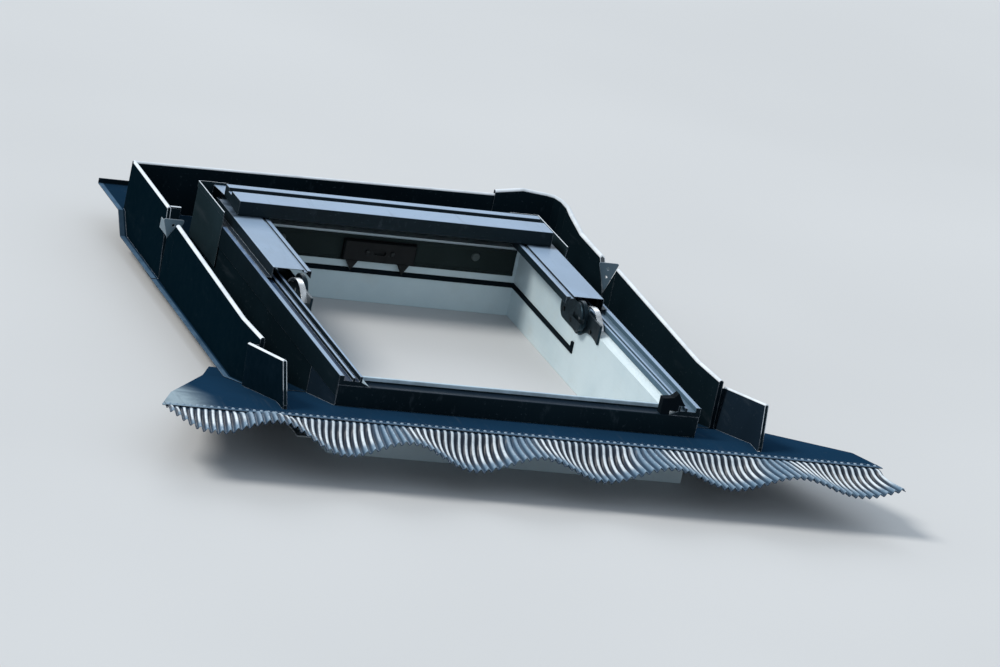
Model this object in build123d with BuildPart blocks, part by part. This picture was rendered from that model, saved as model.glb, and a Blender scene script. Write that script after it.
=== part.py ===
from build123d import *
from math import atan2, cos, pi, radians, sin, tan
import os

# Open frame of a centre-pivot roof window, without its sash, and its flashing for profiled tiles.
# X runs along the eaves, Y up the slope and Z out of the roof. The origin is the centre of the
# window, in the plane of the battens that the fixing angles stand on. Sizes are in millimetres.

os.makedirs("parts", exist_ok=True)

# Window frame, measured over its metal cladding
frame_width = 550.0
frame_length = 780.0
clad_top = 98.0
half_width = frame_width / 2
half_length = frame_length / 2

# Sheet metal
sheet = 0.8
fold_radius = 1.2
lap_gap = 0.3
floor_gap = 1.0
thread_gap = 0.05
# shanks and pilot holes have flat sides, since neither shows
shank_sides = 8

# Fixing angles
bracket_thickness = 2.0
bracket_length = 60.0
bracket_foot = 47.5
bracket_leg = 30.0
bracket_hole_radius = 2.75
bracket_hole_reach = 29.5
bracket_hole_spacing = 30.0
bracket_end_margin = 0.5
leg_screw_height = 15.0
leg_screw_radius = 2.1
leg_screw_head = 3.9
leg_screw_length = 22.0
countersink_angle = 42.0

# Timber
jamb_thickness = 42.5
head_thickness = 75.5
sill_thickness = 42.5
timber_drop = 20.0
timber_top = 90.0
sill_top = 76.0
sill_fall = 3.0
chamfer_width = 14.0
chamfer_drop = 6.0
tenon_length = 20.0
tenon_height = 30.0
tenon_shoulder = 12.0
tenon_foot = 30.0
joint_gap = 0.2
lining_lip = 4.0
lining_width = 11.0
lining_depth = 10.0

# Rubber seal in the head and the upper half of the jambs
seal_level = 49.5
seal_groove_width = 4.0
seal_groove_depth = 5.0
seal_bead_radius = 4.0
seal_end = 22.0
seal_hook = 14.0

# Rail, striker and caps on the head
trim_thickness = 3.0
trim_bottom = 45.0
trim_top = 86.0
trim_margin = 6.0
trim_lip = 5.0
trim_slot_length = 24.0
trim_slot_height = 3.0
trim_slot_pitch = 34.0
striker_width = 116.0
striker_bottom = 47.0
striker_top = 80.0
striker_depth = 8.0
striker_chamfer = 2.0
tooth_spacing = 83.0
tooth_width = 20.0
tooth_drop = 16.0
tooth_root = 1.0
striker_screw_radius = 1.9
striker_screw_head = 3.8
striker_screw_length = 22.0
striker_screw_spacing = 40.0
head_taper = 25.0
cap_radius = 7.0
cap_height = 2.5
cap_spacing = 314.0
cap_level = 70.0

# Pivot hinges, frame halves
pivot_y = 0.0
pivot_z = 90.0
hinge_plate = 3.5
hinge_upper_end = 95.0
hinge_top = 104.0
hinge_bottom = 62.0
hinge_corner = 18.0
beak_start = -13.0
beak_level = 70.0
beak_tip_y = -76.0
beak_tip_z = 74.0
beak_arch_y = -46.0
beak_arch_z = 78.0
ring_radius = 22.0
ring_thickness = 2.7
ring_height = 6.0
ring_mouth = 120.0
shoe_gap = 0.3
shoe_thickness = 9.2
shoe_chamfer = 1.0
shoe_slot_width = 8.0
shoe_slot_depth = 4.5
pin_sink = 1.9
pin_radius = 3.0
pin_head_radius = 3.8
pin_head_thickness = 1.5
pin_gap = 0.05
spring_thickness = 1.2
spring_width = 9.0
spring_places = [(-62.0, 91.0), (-22.0, 112.0), (14.0, 97.0)]
hinge_screw_radius = 1.6
hinge_screw_head_thickness = 1.6
hinge_screw_head = 3.4
hinge_screw_length = 18.0
hinge_screw_places = [(78.0, 76.0), (42.0, 71.0), (-42.0, 82.0)]

# Cladding of the jambs and the sill
clad_bottom = 66.0
roll_width = 7.5
rib_outer = 20.5
rib_width = 3.5
rib_level = 96.0
ridge_outer = 31.0
ridge_width = 3.5
ridge_level = 98.5
sill_front_top = 84.0
sill_nose = 7.0
sill_valley = 79.0
sill_rib_level = 86.0
sill_rib_width = 4.5
sill_rib_inset = 4.0
sill_front_margin = 1.0
block_depth = 13.0
# the corner block's upper outline, as distance from the ridge's outer side and height over the ridge
block_outline = [(30.0, 9.5), (14.0, 11.5), (7.0, 18.5), (-2.0, 5.5), (-6.0, 1.2)]

# Upper side covers
cover_outer = 14.0
cover_inner = 62.0
cover_edge = 74.0
cover_top = 115.0
cover_groove_width = 5.0
cover_groove_depth = 3.5
cover_edge_level = 114.0
cover_edge_foot = 103.0
cover_foot_width = 8.0
cover_lower_end = 20.0
cover_upper_inset = 64.0
clip_length = 14.0
clip_end_margin = 13.0
clip_count = 3
clip_post = 4.2
clip_pad = 3.0
clip_reach = 18.0

# Hood over the head
hood_side_inset = 23.0
hood_front_inset = 138.0
hood_back_inset = 58.0
hood_top = 138.0
hood_lip = 6.0
hood_band = 46.0
hood_recess = 6.0
hood_recess_slope = 1.5
hood_rear_band = 16.0
hood_floor_front = 121.0
hood_floor_back = 117.0
hood_skirt_bottom = 66.0
bearer_inset = 13.0
bearer_flange = 10.0
bearer_margin = 4.0
cheek_front_inset = 147.0
cheek_top = 121.0
cheek_bottom = 34.0
cheek_hem = 9.0
cheek_return = 46.0

# Side gutters
gutter_width = 74.5
wall_width = 7.0
roll_radius = 3.4
hem_width = 10.5
hem_width_lower = 1.6
upstand_top = 86.0
gutter_upper_inset = 90.0
wall_upper_inset = 178.0
bend_inset = 225.0
gutter_lower_inset = 128.0
wall_top_upper = 104.0
wall_top_bend = 95.0
wall_top_lower = 100.0

# Apron under the sill
apron_level = 55.0
apron_bend_reach = 10.0
apron_reach = 66.0
apron_back_inset = 265.0
apron_wing = 270.0
apron_corner_cut = 4.0
apron_back_wing = 103.0
apron_bend_radius = 20.0
end_wall_half = 3.0
# each row is the place from the frame's lower end, then the wall's centre at the level of the battens
# from the frame's side, its lean and its top
end_wall_places = [
    (140.0, 87.0, 5.0, 87.0),
    (-10.0, 81.0, 10.0, 118.0),
    (-41.0, 80.5, 10.5, 125.0),
]
end_wall_slant = 25.0
end_wall_slant_height = 61.0
apron_upstand_top = 72.0

# Pleated skirt, dressed to the waves of the tiles
pleats = 104
wave_height = 14.0
skirt_side_inset = 5.0
skirt_flare = 0.03
skirt_thickness = 0.9
wave_length = 196.0
wave_fade = 0.2
end_lift = 15.0
end_lift_skew = -7.0
lift_inset = 100.0
lift_limit_inset = 50.0
seam_strip_width = 12.0
skirt_reach = 70.0
# each row is the share of the reach, the drop, the share of the dressed wave and the depth of a pleat
skirt_rows = [
    (-0.09, 0.0, 0.0, 0.5),
    (0.05, 0.8, 0.0, 2.4),
    (0.4, 14.0, 0.8, 5.0),
    (1.0, 17.5, 1.0, 7.0),
]

# Back gutter above the head
back_floor_reach = 50.0
back_step_reach = 84.0
back_level = 36.0
back_wall_reach = 90.0
back_reach = 210.0
back_lip = 8.0
back_flange_reach = 92.0
return_inset = 140.0
return_wall_reach = 78.0
return_top_lower = 112.0
return_top_upper = 114.0
back_wall_half = 3.0
back_top_right = 122.0
back_right_inset = 33.0
corner_start_inset = 43.0
corner_wall_half = 4.0
corner_radius = 35.0
corner_top_start = 128.0
corner_top_crest = 135.0
corner_crest_reach = 2.0
corner_top_bend = 131.0
corner_top_side = 112.0
corner_dip_inset = 4.0
corner_top_dip = 101.0
corner_top_end = 99.0
corner_steps = 4
# the slanted ends of the two side walls, as lower and upper point from the return's lower end
return_slant_places = [(0.0, 4.0), (22.0, 113.0)]
corner_slant_places = [(-1.0, 52.0), (39.0, 101.0)]

# Clips on the ends of the upper walls
tab_width = 34.0
tab_height = 48.0
tab_thickness = 1.2
tab_hole_radius = 2.4
tab_hole_pitch = 13.0
tab_top = 101.0
tab_shift = 3.0
tab_inset = 3.0
tab_strap_length = 40.0
tab_strap_height = 16.0
tab_strap_drop = 11.0

# Places worked out from the sizes above
cover_upper_end = half_length - cover_upper_inset
hood_half_width = half_width - hood_side_inset
hood_front = half_length - hood_front_inset
hood_back = half_length - hood_back_inset
cheek_front = half_length - cheek_front_inset
gutter_inner = half_width + gutter_width
gutter_upper_end = half_length - gutter_upper_inset
wall_upper_end = half_length - wall_upper_inset
bend_y = -half_length + bend_inset
gutter_lower_end = -half_length + gutter_lower_inset
apron_bend = -half_length - apron_bend_reach
apron_front = -half_length - apron_reach
apron_back = -half_length + apron_back_inset
apron_half_width = half_width + apron_wing
apron_corner = apron_front + apron_corner_cut
apron_back_width = half_width + apron_back_wing
end_wall_rows = [
    (-half_length + place, half_width + reach, lean, top) for place, reach, lean, top in end_wall_places
]
skirt_half_width = apron_half_width - skirt_side_inset
lift_place = skirt_half_width - lift_inset
lift_limit = skirt_half_width - lift_limit_inset
back_floor_end = half_length + back_floor_reach
back_step = half_length + back_step_reach
back_wall_y = half_length + back_wall_reach
back_end = half_length + back_reach
back_flange = half_width + back_flange_reach
return_end = half_length - return_inset
return_wall_x = half_width + return_wall_reach
return_slant = [(return_end + place, level) for place, level in return_slant_places]
back_right_end = half_width - back_right_inset
corner_start = half_width - corner_start_inset
corner_crest_x = half_width + corner_crest_reach
corner_dip_y = half_length - corner_dip_inset
corner_slant = [(return_end + place, level) for place, level in corner_slant_places]
tab_place = return_end - tab_inset
tab_x = return_wall_x - tab_shift
timber_inset = bracket_thickness + 2 * sheet + 3 * lap_gap
timber_x = half_width - timber_inset
timber_y = half_length - timber_inset
timber_foot = -timber_drop
jamb_face = timber_x - jamb_thickness
head_face = timber_y - head_thickness
sill_face = -timber_y + sill_thickness
upstand_x = timber_x + bracket_thickness + lap_gap
upstand_y = timber_y + lap_gap + sheet
gutter_floor = bracket_thickness + floor_gap + sheet
top_floor = gutter_floor + lap_gap + sheet
apron_floor = gutter_floor - sheet - lap_gap
apron_slope = (apron_level - apron_floor) / (bend_y - apron_bend)
gutter_floor_lower = gutter_floor + apron_slope * (bend_y - gutter_lower_end)
gutter_outer = gutter_inner + wall_width
valley_level = timber_top + lap_gap + sheet
rib_x = half_width - rib_outer
ridge_x = half_width - ridge_outer
ridge_inner = ridge_x - ridge_width
bracket_y = timber_y - bracket_end_margin - bracket_length / 2
clad_end = half_length - sheet - lap_gap
sill_front_bottom = apron_floor + apron_slope * (half_length + bend_y) + lap_gap


def at_x(place):
    """The YZ plane at one place along the eaves."""
    return Plane.YZ.offset(place)


def at_y(place):
    """The XZ plane at one place up the slope."""
    return Plane.XZ.offset(-place)


def folded(plane, points, side, radii=fold_radius):
    """Section of a folded sheet, with one face of the metal on the given points."""
    with BuildSketch(plane) as section:
        with BuildLine():
            FilletPolyline(*points, radius=radii)
            offset(amount=sheet, side=side)
        make_face()
    return section.sketch


def outline(plane, points):
    """A flat shape with straight sides."""
    with BuildSketch(plane) as shape:
        with BuildLine():
            Polyline(*points, close=True)
        make_face()
    return shape.sketch


def wall_section(plane, centre, foot, top, half, lean=0.0):
    """Section of a standing wall with a half-round top, square to the plane's first axis."""
    with BuildSketch(plane) as section:
        with BuildLine():
            Polyline(
                (centre + lean - half, top - half),
                (centre - half, foot),
                (centre + half, foot),
                (centre + lean + half, top - half),
            )
            ThreePointArc(
                (centre + lean + half, top - half),
                (centre + lean, top),
                (centre + lean - half, top - half),
            )
        make_face()
    return section.sketch


def fold_section(plane, centre, foot, top, half, lean=0.0):
    """Section of the hollow inside a standing wall, its top bevelled to stay clear of the skins."""
    return outline(
        plane,
        [
            (centre - half, foot),
            (centre + half, foot),
            (centre + lean + half, top - half),
            (centre + lean, top - half / 4),
            (centre + lean - half, top - half),
        ],
    )


def lining_groove():
    """Plan of the groove for the room lining, a ring round the opening."""
    centre_y = (head_face + sill_face) / 2
    inner_x = 2 * (jamb_face + lining_lip)
    inner_y = head_face - sill_face + 2 * lining_lip
    with BuildSketch(Plane.XY.offset(timber_foot)) as ring:
        with Locations((0, centre_y)):
            Rectangle(inner_x + 2 * lining_width, inner_y + 2 * lining_width)
            Rectangle(inner_x, inner_y, mode=Mode.SUBTRACT)
    return ring.sketch


def seal_groove(depth, height):
    """Solid of the seal's groove, or of its root, along the head and the upper jambs."""
    low = seal_level - timber_drop - height / 2
    side = jamb_face + depth
    with BuildPart() as band:
        with BuildSketch(Plane.XY.offset(low)):
            with BuildLine():
                Polyline(
                    (-side, seal_end),
                    (-side, head_face + depth),
                    (side, head_face + depth),
                    (side, seal_end),
                    (jamb_face, seal_end),
                    (jamb_face, head_face),
                    (-jamb_face, head_face),
                    (-jamb_face, seal_end),
                    close=True,
                )
            make_face()
        extrude(amount=height)
    return band.part


def tenon(thickness, near, gap=0.0):
    """A member's two tenons as one pair of blocks, or their mortises with a gap all round."""
    centre_y = near + thickness / 2
    centre_z = timber_foot + tenon_foot + tenon_height / 2
    width = thickness - 2 * tenon_shoulder + 2 * gap
    with BuildPart() as pair:
        for side in (-1, 1):
            with Locations((side * (jamb_face + (tenon_length + gap) / 2), centre_y, centre_z)):
                Box(tenon_length + gap, width, tenon_height + 2 * gap)
    return pair.part


# Right jamb, with its mortises, the two grooves and the pilot holes of its screws
with BuildPart() as frame_jamb_right:
    extrude(
        outline(
            Plane.XZ,
            [
                (jamb_face, timber_foot),
                (timber_x, timber_foot),
                (timber_x, timber_top),
                (jamb_face + chamfer_width, timber_top),
                (jamb_face, timber_top - chamfer_drop),
            ],
        ),
        amount=timber_y,
        both=True,
    )
    extrude(lining_groove(), amount=lining_depth, mode=Mode.SUBTRACT)
    add(seal_groove(seal_groove_depth, seal_groove_width), mode=Mode.SUBTRACT)
    add(tenon(head_thickness, head_face, joint_gap), mode=Mode.SUBTRACT)
    add(tenon(sill_thickness, -timber_y, joint_gap), mode=Mode.SUBTRACT)
    with BuildSketch(at_x(timber_x)) as pilot_holes:
        for end in (-1, 1):
            with Locations((end * bracket_y, leg_screw_height)):
                with GridLocations(bracket_hole_spacing, 1, 2, 1):
                    RegularPolygon(leg_screw_radius + thread_gap, shank_sides)
    extrude(amount=-leg_screw_length, mode=Mode.SUBTRACT)
    with BuildSketch(at_x(jamb_face)) as hinge_pilots:
        with Locations(*hinge_screw_places):
            RegularPolygon(hinge_screw_radius + thread_gap, shank_sides)
    extrude(amount=hinge_screw_length - hinge_plate, mode=Mode.SUBTRACT)
frame_jamb_right.part.label = "frame_jamb_right"
export_step(frame_jamb_right.part, "parts/frame_jamb_right.step")

with BuildPart() as frame_jamb_left:
    mirror(frame_jamb_right.part, about=Plane.YZ)
frame_jamb_left.part.label = "frame_jamb_left"
export_step(frame_jamb_left.part, "parts/frame_jamb_left.step")

# Head between the jambs
with BuildPart() as frame_head:
    extrude(
        outline(
            Plane.YZ,
            [
                (head_face, timber_foot),
                (timber_y, timber_foot),
                (timber_y, timber_top),
                (head_face, timber_top),
            ],
        ),
        amount=jamb_face,
        both=True,
    )
    add(tenon(head_thickness, head_face))
    extrude(lining_groove(), amount=lining_depth, mode=Mode.SUBTRACT)
    add(seal_groove(seal_groove_depth, seal_groove_width), mode=Mode.SUBTRACT)
    with BuildSketch(at_y(head_face)) as striker_pilots:
        with Locations((0, (striker_bottom + striker_top) / 2)):
            with GridLocations(striker_screw_spacing, 1, 2, 1):
                RegularPolygon(striker_screw_radius + thread_gap, shank_sides)
    extrude(amount=-striker_screw_length, mode=Mode.SUBTRACT)
frame_head.part.label = "frame_head"
export_step(frame_head.part, "parts/frame_head.step")

# Sill between the jambs, its top falling outwards
with BuildPart() as frame_sill:
    extrude(
        outline(
            Plane.YZ,
            [
                (-timber_y, timber_foot),
                (sill_face, timber_foot),
                (sill_face, sill_top),
                (-timber_y, sill_top - sill_fall),
            ],
        ),
        amount=jamb_face,
        both=True,
    )
    add(tenon(sill_thickness, -timber_y))
    extrude(lining_groove(), amount=lining_depth, mode=Mode.SUBTRACT)
frame_sill.part.label = "frame_sill"
export_step(frame_sill.part, "parts/frame_sill.step")

# Rubber seal: a half-round bead on a root, its ends hooked out along the jambs
seal_z = seal_level - timber_drop
with BuildPart() as frame_gasket:
    with BuildLine() as seal_path:
        Polyline(
            (jamb_face, seal_end, seal_z + seal_hook),
            (jamb_face, seal_end, seal_z),
            (jamb_face, head_face, seal_z),
            (-jamb_face, head_face, seal_z),
            (-jamb_face, seal_end, seal_z),
            (-jamb_face, seal_end, seal_z + seal_hook),
        )
    with BuildSketch(Plane.XY.offset(seal_z + seal_hook)) as bead:
        with Locations((jamb_face, seal_end)):
            Circle(seal_bead_radius)
            with Locations((seal_bead_radius / 2, 0)):
                Rectangle(seal_bead_radius, 2 * seal_bead_radius, mode=Mode.SUBTRACT)
    sweep(path=seal_path.wire(), transition=Transition.RIGHT)
    add(seal_groove(seal_groove_depth - joint_gap, seal_groove_width - 2 * joint_gap))
frame_gasket.part.label = "frame_gasket"
export_step(frame_gasket.part, "parts/frame_gasket.step")

# Dark rail on the head's inner face, lipped along both edges and slotted for air
trim_face = head_face - trim_thickness
trim_half = jamb_face - trim_margin
with BuildPart() as head_trim:
    with Locations((0, head_face - trim_thickness / 2, (trim_bottom + trim_top) / 2)):
        Box(2 * trim_half, trim_thickness, trim_top - trim_bottom)
    with BuildSketch(at_y(trim_face)) as recess:
        with Locations((0, (trim_bottom + trim_top) / 2)):
            Rectangle(2 * trim_half, trim_top - trim_bottom - 2 * trim_lip)
    extrude(amount=-trim_thickness / 3, mode=Mode.SUBTRACT)
    slot_count = int((2 * trim_half - trim_slot_length) / trim_slot_pitch)
    with BuildSketch(at_y(trim_face)) as slots:
        with Locations((0, trim_bottom + trim_lip / 2)):
            with GridLocations(trim_slot_pitch, 1, slot_count, 1):
                Rectangle(trim_slot_length, trim_slot_height)
    extrude(amount=-trim_thickness / 2, mode=Mode.SUBTRACT)
    with BuildSketch(at_y(trim_face)) as trim_holes:
        with Locations((0, (striker_bottom + striker_top) / 2)):
            with GridLocations(striker_screw_spacing, 1, 2, 1):
                RegularPolygon(striker_screw_radius + joint_gap, shank_sides)
    extrude(amount=-trim_thickness, mode=Mode.SUBTRACT)
head_trim.part.label = "head_trim"
export_step(head_trim.part, "parts/head_trim.step")

# Striker of the lock, a block with two pointed teeth, seated in the rail's recess
striker_back = trim_face + trim_thickness / 3
striker_front = trim_face - striker_depth
striker_middle = (striker_bottom + striker_top) / 2
with BuildPart() as lock_striker:
    with Locations((0, (striker_front + trim_face) / 2, striker_middle)):
        Box(striker_width, striker_depth, striker_top - striker_bottom)
    chamfer(lock_striker.edges().group_by(Axis.Y)[0], striker_chamfer)
    with Locations((0, (striker_back + trim_face) / 2, (trim_bottom + trim_top) / 2)):
        Box(striker_width, striker_back - trim_face, trim_top - trim_bottom - 2 * trim_lip - 2 * joint_gap)
    with BuildSketch(at_y(striker_front + striker_chamfer)) as teeth:
        for side in (-1, 1):
            with BuildLine():
                Polyline(
                    (side * tooth_spacing / 2 - tooth_width / 2, striker_bottom + tooth_root),
                    (side * tooth_spacing / 2, striker_bottom - tooth_drop),
                    (side * tooth_spacing / 2 + tooth_width / 2, striker_bottom + tooth_root),
                    close=True,
                )
            make_face()
    extrude(amount=-striker_depth / 2)
    with BuildSketch(at_y(striker_front)) as latch_pocket:
        with Locations((0, striker_middle)):
            SlotOverall(striker_screw_spacing / 2, striker_depth)
    extrude(amount=-striker_depth / 2, mode=Mode.SUBTRACT)
    with BuildSketch(at_y(striker_front)) as striker_holes:
        with Locations((0, striker_middle)):
            with GridLocations(striker_screw_spacing, 1, 2, 1):
                RegularPolygon(striker_screw_radius + joint_gap, shank_sides)
    extrude(amount=-2 * striker_depth, mode=Mode.SUBTRACT)
lock_striker.part.label = "lock_striker"
export_step(lock_striker.part, "parts/lock_striker.step")

# The striker's two screws, domed heads on the striker's face
striker_grip = head_face - striker_front
with BuildPart() as striker_screws:
    with BuildSketch(at_y(striker_front)) as shanks:
        with Locations((0, striker_middle)):
            with GridLocations(striker_screw_spacing, 1, 2, 1):
                RegularPolygon(striker_screw_radius, shank_sides)
    extrude(amount=-(striker_screw_length + striker_grip) + joint_gap)
    with BuildSketch(at_y(striker_front)) as heads:
        with Locations((0, striker_middle)):
            with GridLocations(striker_screw_spacing, 1, 2, 1):
                Circle(striker_screw_head)
    extrude(amount=striker_screw_radius, taper=head_taper)
striker_screws.part.label = "striker_screws"
export_step(striker_screws.part, "parts/striker_screws.step")

# Round caps over the rail's fixings
with BuildPart() as head_screw_caps:
    with BuildSketch(at_y(trim_face + trim_thickness / 3)) as caps:
        with Locations((0, cap_level)):
            with GridLocations(cap_spacing, 1, 2, 1):
                Circle(cap_radius)
    extrude(amount=cap_height, taper=head_taper)
head_screw_caps.part.label = "head_screw_caps"
export_step(head_screw_caps.part, "parts/head_screw_caps.step")

# Hinge base on the right jamb: a beaked plate with an open bearing ring
base_face = jamb_face - hinge_plate
corner_rise = hinge_corner * (1 - sin(pi / 4))
with BuildPart() as hinge_base_right:
    with BuildSketch(at_x(base_face)) as base_outline:
        with BuildLine():
            Line((hinge_upper_end, hinge_top), (hinge_upper_end, hinge_bottom + hinge_corner))
            ThreePointArc(
                (hinge_upper_end, hinge_bottom + hinge_corner),
                (hinge_upper_end - corner_rise, hinge_bottom + corner_rise),
                (hinge_upper_end - hinge_corner, hinge_bottom),
            )
            Polyline(
                (hinge_upper_end - hinge_corner, hinge_bottom),
                (0, hinge_bottom),
                (beak_start, beak_level),
            )
            ThreePointArc(
                (beak_start, beak_level),
                (beak_arch_y, beak_arch_z),
                (beak_tip_y, beak_tip_z),
            )
            Polyline(
                (beak_tip_y, beak_tip_z),
                (beak_tip_y, hinge_top),
                (hinge_upper_end, hinge_top),
            )
        make_face()
        with Locations(*hinge_screw_places):
            RegularPolygon(hinge_screw_radius + joint_gap, shank_sides, mode=Mode.SUBTRACT)
        with Locations((pivot_y, pivot_z)):
            Circle(pin_radius + pin_gap, mode=Mode.SUBTRACT)
    extrude(amount=hinge_plate)
    with BuildSketch(at_x(base_face)) as ring:
        with Locations((pivot_y, pivot_z)):
            Circle(ring_radius + shoe_gap + ring_thickness)
            Circle(ring_radius + shoe_gap, mode=Mode.SUBTRACT)
            with Locations((-ring_radius, -ring_radius * sin(radians(ring_mouth / 2)))):
                Rectangle(ring_radius, ring_radius, mode=Mode.SUBTRACT)
    extrude(amount=-ring_height)
hinge_base_right.part.label = "hinge_base_right"
export_step(hinge_base_right.part, "parts/hinge_base_right.step")

with BuildPart() as hinge_base_left:
    mirror(hinge_base_right.part, about=Plane.YZ)
hinge_base_left.part.label = "hinge_base_left"
export_step(hinge_base_left.part, "parts/hinge_base_left.step")

# Turning shoe in the ring, slotted for the tongue of a sash
shoe_face = base_face - shoe_gap - shoe_thickness
with BuildPart() as hinge_shoe_right:
    with BuildSketch(at_x(base_face - shoe_gap)) as shoe_disc:
        with Locations((pivot_y, pivot_z)):
            Circle(ring_radius)
            Circle(pin_radius + pin_gap, mode=Mode.SUBTRACT)
    extrude(amount=-shoe_thickness)
    shoe_rims = hinge_shoe_right.edges().filter_by(GeomType.CIRCLE).group_by(Axis.X)[0]
    chamfer(shoe_rims.sort_by(SortBy.RADIUS)[-1], shoe_chamfer)
    with BuildSketch(at_x(shoe_face)) as tongue_slot:
        with Locations((pivot_y, pivot_z)):
            Rectangle(3 * ring_radius, shoe_slot_width)
    extrude(amount=shoe_slot_depth, mode=Mode.SUBTRACT)
    with BuildSketch(at_x(shoe_face)) as pin_seat:
        with Locations((pivot_y, pivot_z)):
            Circle(pin_head_radius + joint_gap)
    extrude(amount=shoe_slot_depth + pin_sink, mode=Mode.SUBTRACT)
hinge_shoe_right.part.label = "hinge_shoe_right"
export_step(hinge_shoe_right.part, "parts/hinge_shoe_right.step")

with BuildPart() as hinge_shoe_left:
    mirror(hinge_shoe_right.part, about=Plane.YZ)
hinge_shoe_left.part.label = "hinge_shoe_left"
export_step(hinge_shoe_left.part, "parts/hinge_shoe_left.step")

# Rivet that the shoe turns on, its head sunk in the slot's floor
pin_seat_floor = shoe_face + shoe_slot_depth + pin_sink - thread_gap
with BuildPart() as hinge_pin_right:
    with BuildSketch(at_x(jamb_face)) as pin_shank:
        with Locations((pivot_y, pivot_z)):
            Circle(pin_radius)
    extrude(amount=pin_seat_floor - jamb_face)
    with BuildSketch(at_x(pin_seat_floor)) as pin_head:
        with Locations((pivot_y, pivot_z)):
            Circle(pin_head_radius)
    extrude(amount=-pin_head_thickness)
hinge_pin_right.part.label = "hinge_pin_right"
export_step(hinge_pin_right.part, "parts/hinge_pin_right.step")

with BuildPart() as hinge_pin_left:
    mirror(hinge_pin_right.part, about=Plane.YZ)
hinge_pin_left.part.label = "hinge_pin_left"
export_step(hinge_pin_left.part, "parts/hinge_pin_left.step")

# Bowed spring behind the base plate, over the jamb's chamfer
with BuildPart() as hinge_spring_right:
    with BuildSketch(at_x(jamb_face)) as spring_section:
        with BuildLine():
            ThreePointArc(*spring_places)
            offset(amount=spring_thickness, side=Side.LEFT)
        make_face()
    extrude(amount=spring_width)
hinge_spring_right.part.label = "hinge_spring_right"
export_step(hinge_spring_right.part, "parts/hinge_spring_right.step")

with BuildPart() as hinge_spring_left:
    mirror(hinge_spring_right.part, about=Plane.YZ)
hinge_spring_left.part.label = "hinge_spring_left"
export_step(hinge_spring_left.part, "parts/hinge_spring_left.step")

# Screws of both hinge bases
with BuildPart() as hinge_screws:
    with BuildSketch(at_x(base_face)) as hinge_screw_shanks:
        with Locations(*hinge_screw_places):
            RegularPolygon(hinge_screw_radius, shank_sides)
    extrude(amount=hinge_screw_length - joint_gap)
    with BuildSketch(at_x(base_face)) as hinge_screw_heads:
        with Locations(*hinge_screw_places):
            Circle(hinge_screw_head)
    extrude(amount=-hinge_screw_head_thickness)
    mirror(about=Plane.YZ)
hinge_screws.part.label = "hinge_screws"
export_step(hinge_screws.part, "parts/hinge_screws.step")

# Ridged cladding of the right jamb, with a tab that closes its lower end
clad_points = [
    (half_width, clad_bottom),
    (half_width, clad_top),
    (half_width - roll_width, clad_top),
    (half_width - roll_width, valley_level),
    (rib_x, valley_level),
    (rib_x, rib_level),
    (rib_x - rib_width, rib_level),
    (rib_x - rib_width, valley_level),
    (ridge_x, valley_level),
    (ridge_x, ridge_level),
    (ridge_inner, ridge_level),
    (ridge_inner, timber_top),
]
with BuildPart() as jamb_cladding_right:
    clad_bends = 2 * [fold_radius] + 8 * [0]
    extrude(folded(at_y(clad_end), clad_points, Side.LEFT, clad_bends), amount=2 * clad_end)
    tab_foot = sill_front_top + lap_gap
    extrude(
        outline(
            at_y(-clad_end),
            [(half_width, tab_foot)] + clad_points[1:] + [(jamb_face, tab_foot)],
        ),
        amount=sheet,
    )
jamb_cladding_right.part.label = "jamb_cladding_right"
export_step(jamb_cladding_right.part, "parts/jamb_cladding_right.step")

with BuildPart() as jamb_cladding_left:
    mirror(jamb_cladding_right.part, about=Plane.YZ)
jamb_cladding_left.part.label = "jamb_cladding_left"
export_step(jamb_cladding_left.part, "parts/jamb_cladding_left.step")

# Sill cladding: a front over the full width, its top folded between the jamb claddings
sill_half = jamb_face - lap_gap
sill_rib_y = sill_face - sill_rib_inset
with BuildPart() as sill_cladding:
    extrude(
        folded(
            at_x(-sill_half),
            [
                (-half_length, sill_front_bottom),
                (-half_length, sill_front_top),
                (-half_length + sill_nose, sill_front_top),
                (-half_length + sill_nose + 1, sill_valley),
                (sill_rib_y - sill_rib_width, sill_valley - 1),
                (sill_rib_y - sill_rib_width, sill_rib_level),
                (sill_rib_y, sill_rib_level),
                (sill_rib_y, sill_top + lap_gap),
            ],
            Side.RIGHT,
        ),
        amount=2 * sill_half,
    )
    for side in (-1, 1):
        with Locations((
            side * (half_width - sill_front_margin + sill_half - sheet) / 2,
            -half_length + sheet / 2,
            (sill_front_bottom + sill_front_top) / 2,
        )):
            Box(
                half_width - sill_front_margin - sill_half + sheet,
                sheet,
                sill_front_top - sill_front_bottom,
            )
sill_cladding.part.label = "sill_cladding"
export_step(sill_cladding.part, "parts/sill_cladding.step")

# Black rubber block at the right end of the sill
block_foot = sill_front_top + lap_gap
block_front = -half_length + lap_gap
with BuildPart() as sill_corner_block:
    block_points = [(ridge_x - inset, ridge_level + rise) for inset, rise in block_outline]
    block_step = ridge_level + lap_gap
    extrude(
        outline(
            at_y(block_front),
            [
                (block_points[0][0], block_foot),
                *block_points,
                (block_points[-1][0], block_step),
                (ridge_inner - lap_gap, block_step),
                (ridge_inner - lap_gap, timber_top + lap_gap),
                (sill_half, timber_top + lap_gap),
                (sill_half, block_foot),
            ],
        ),
        amount=-block_depth,
    )
sill_corner_block.part.label = "sill_corner_block"
export_step(sill_corner_block.part, "parts/sill_corner_block.step")

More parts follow.
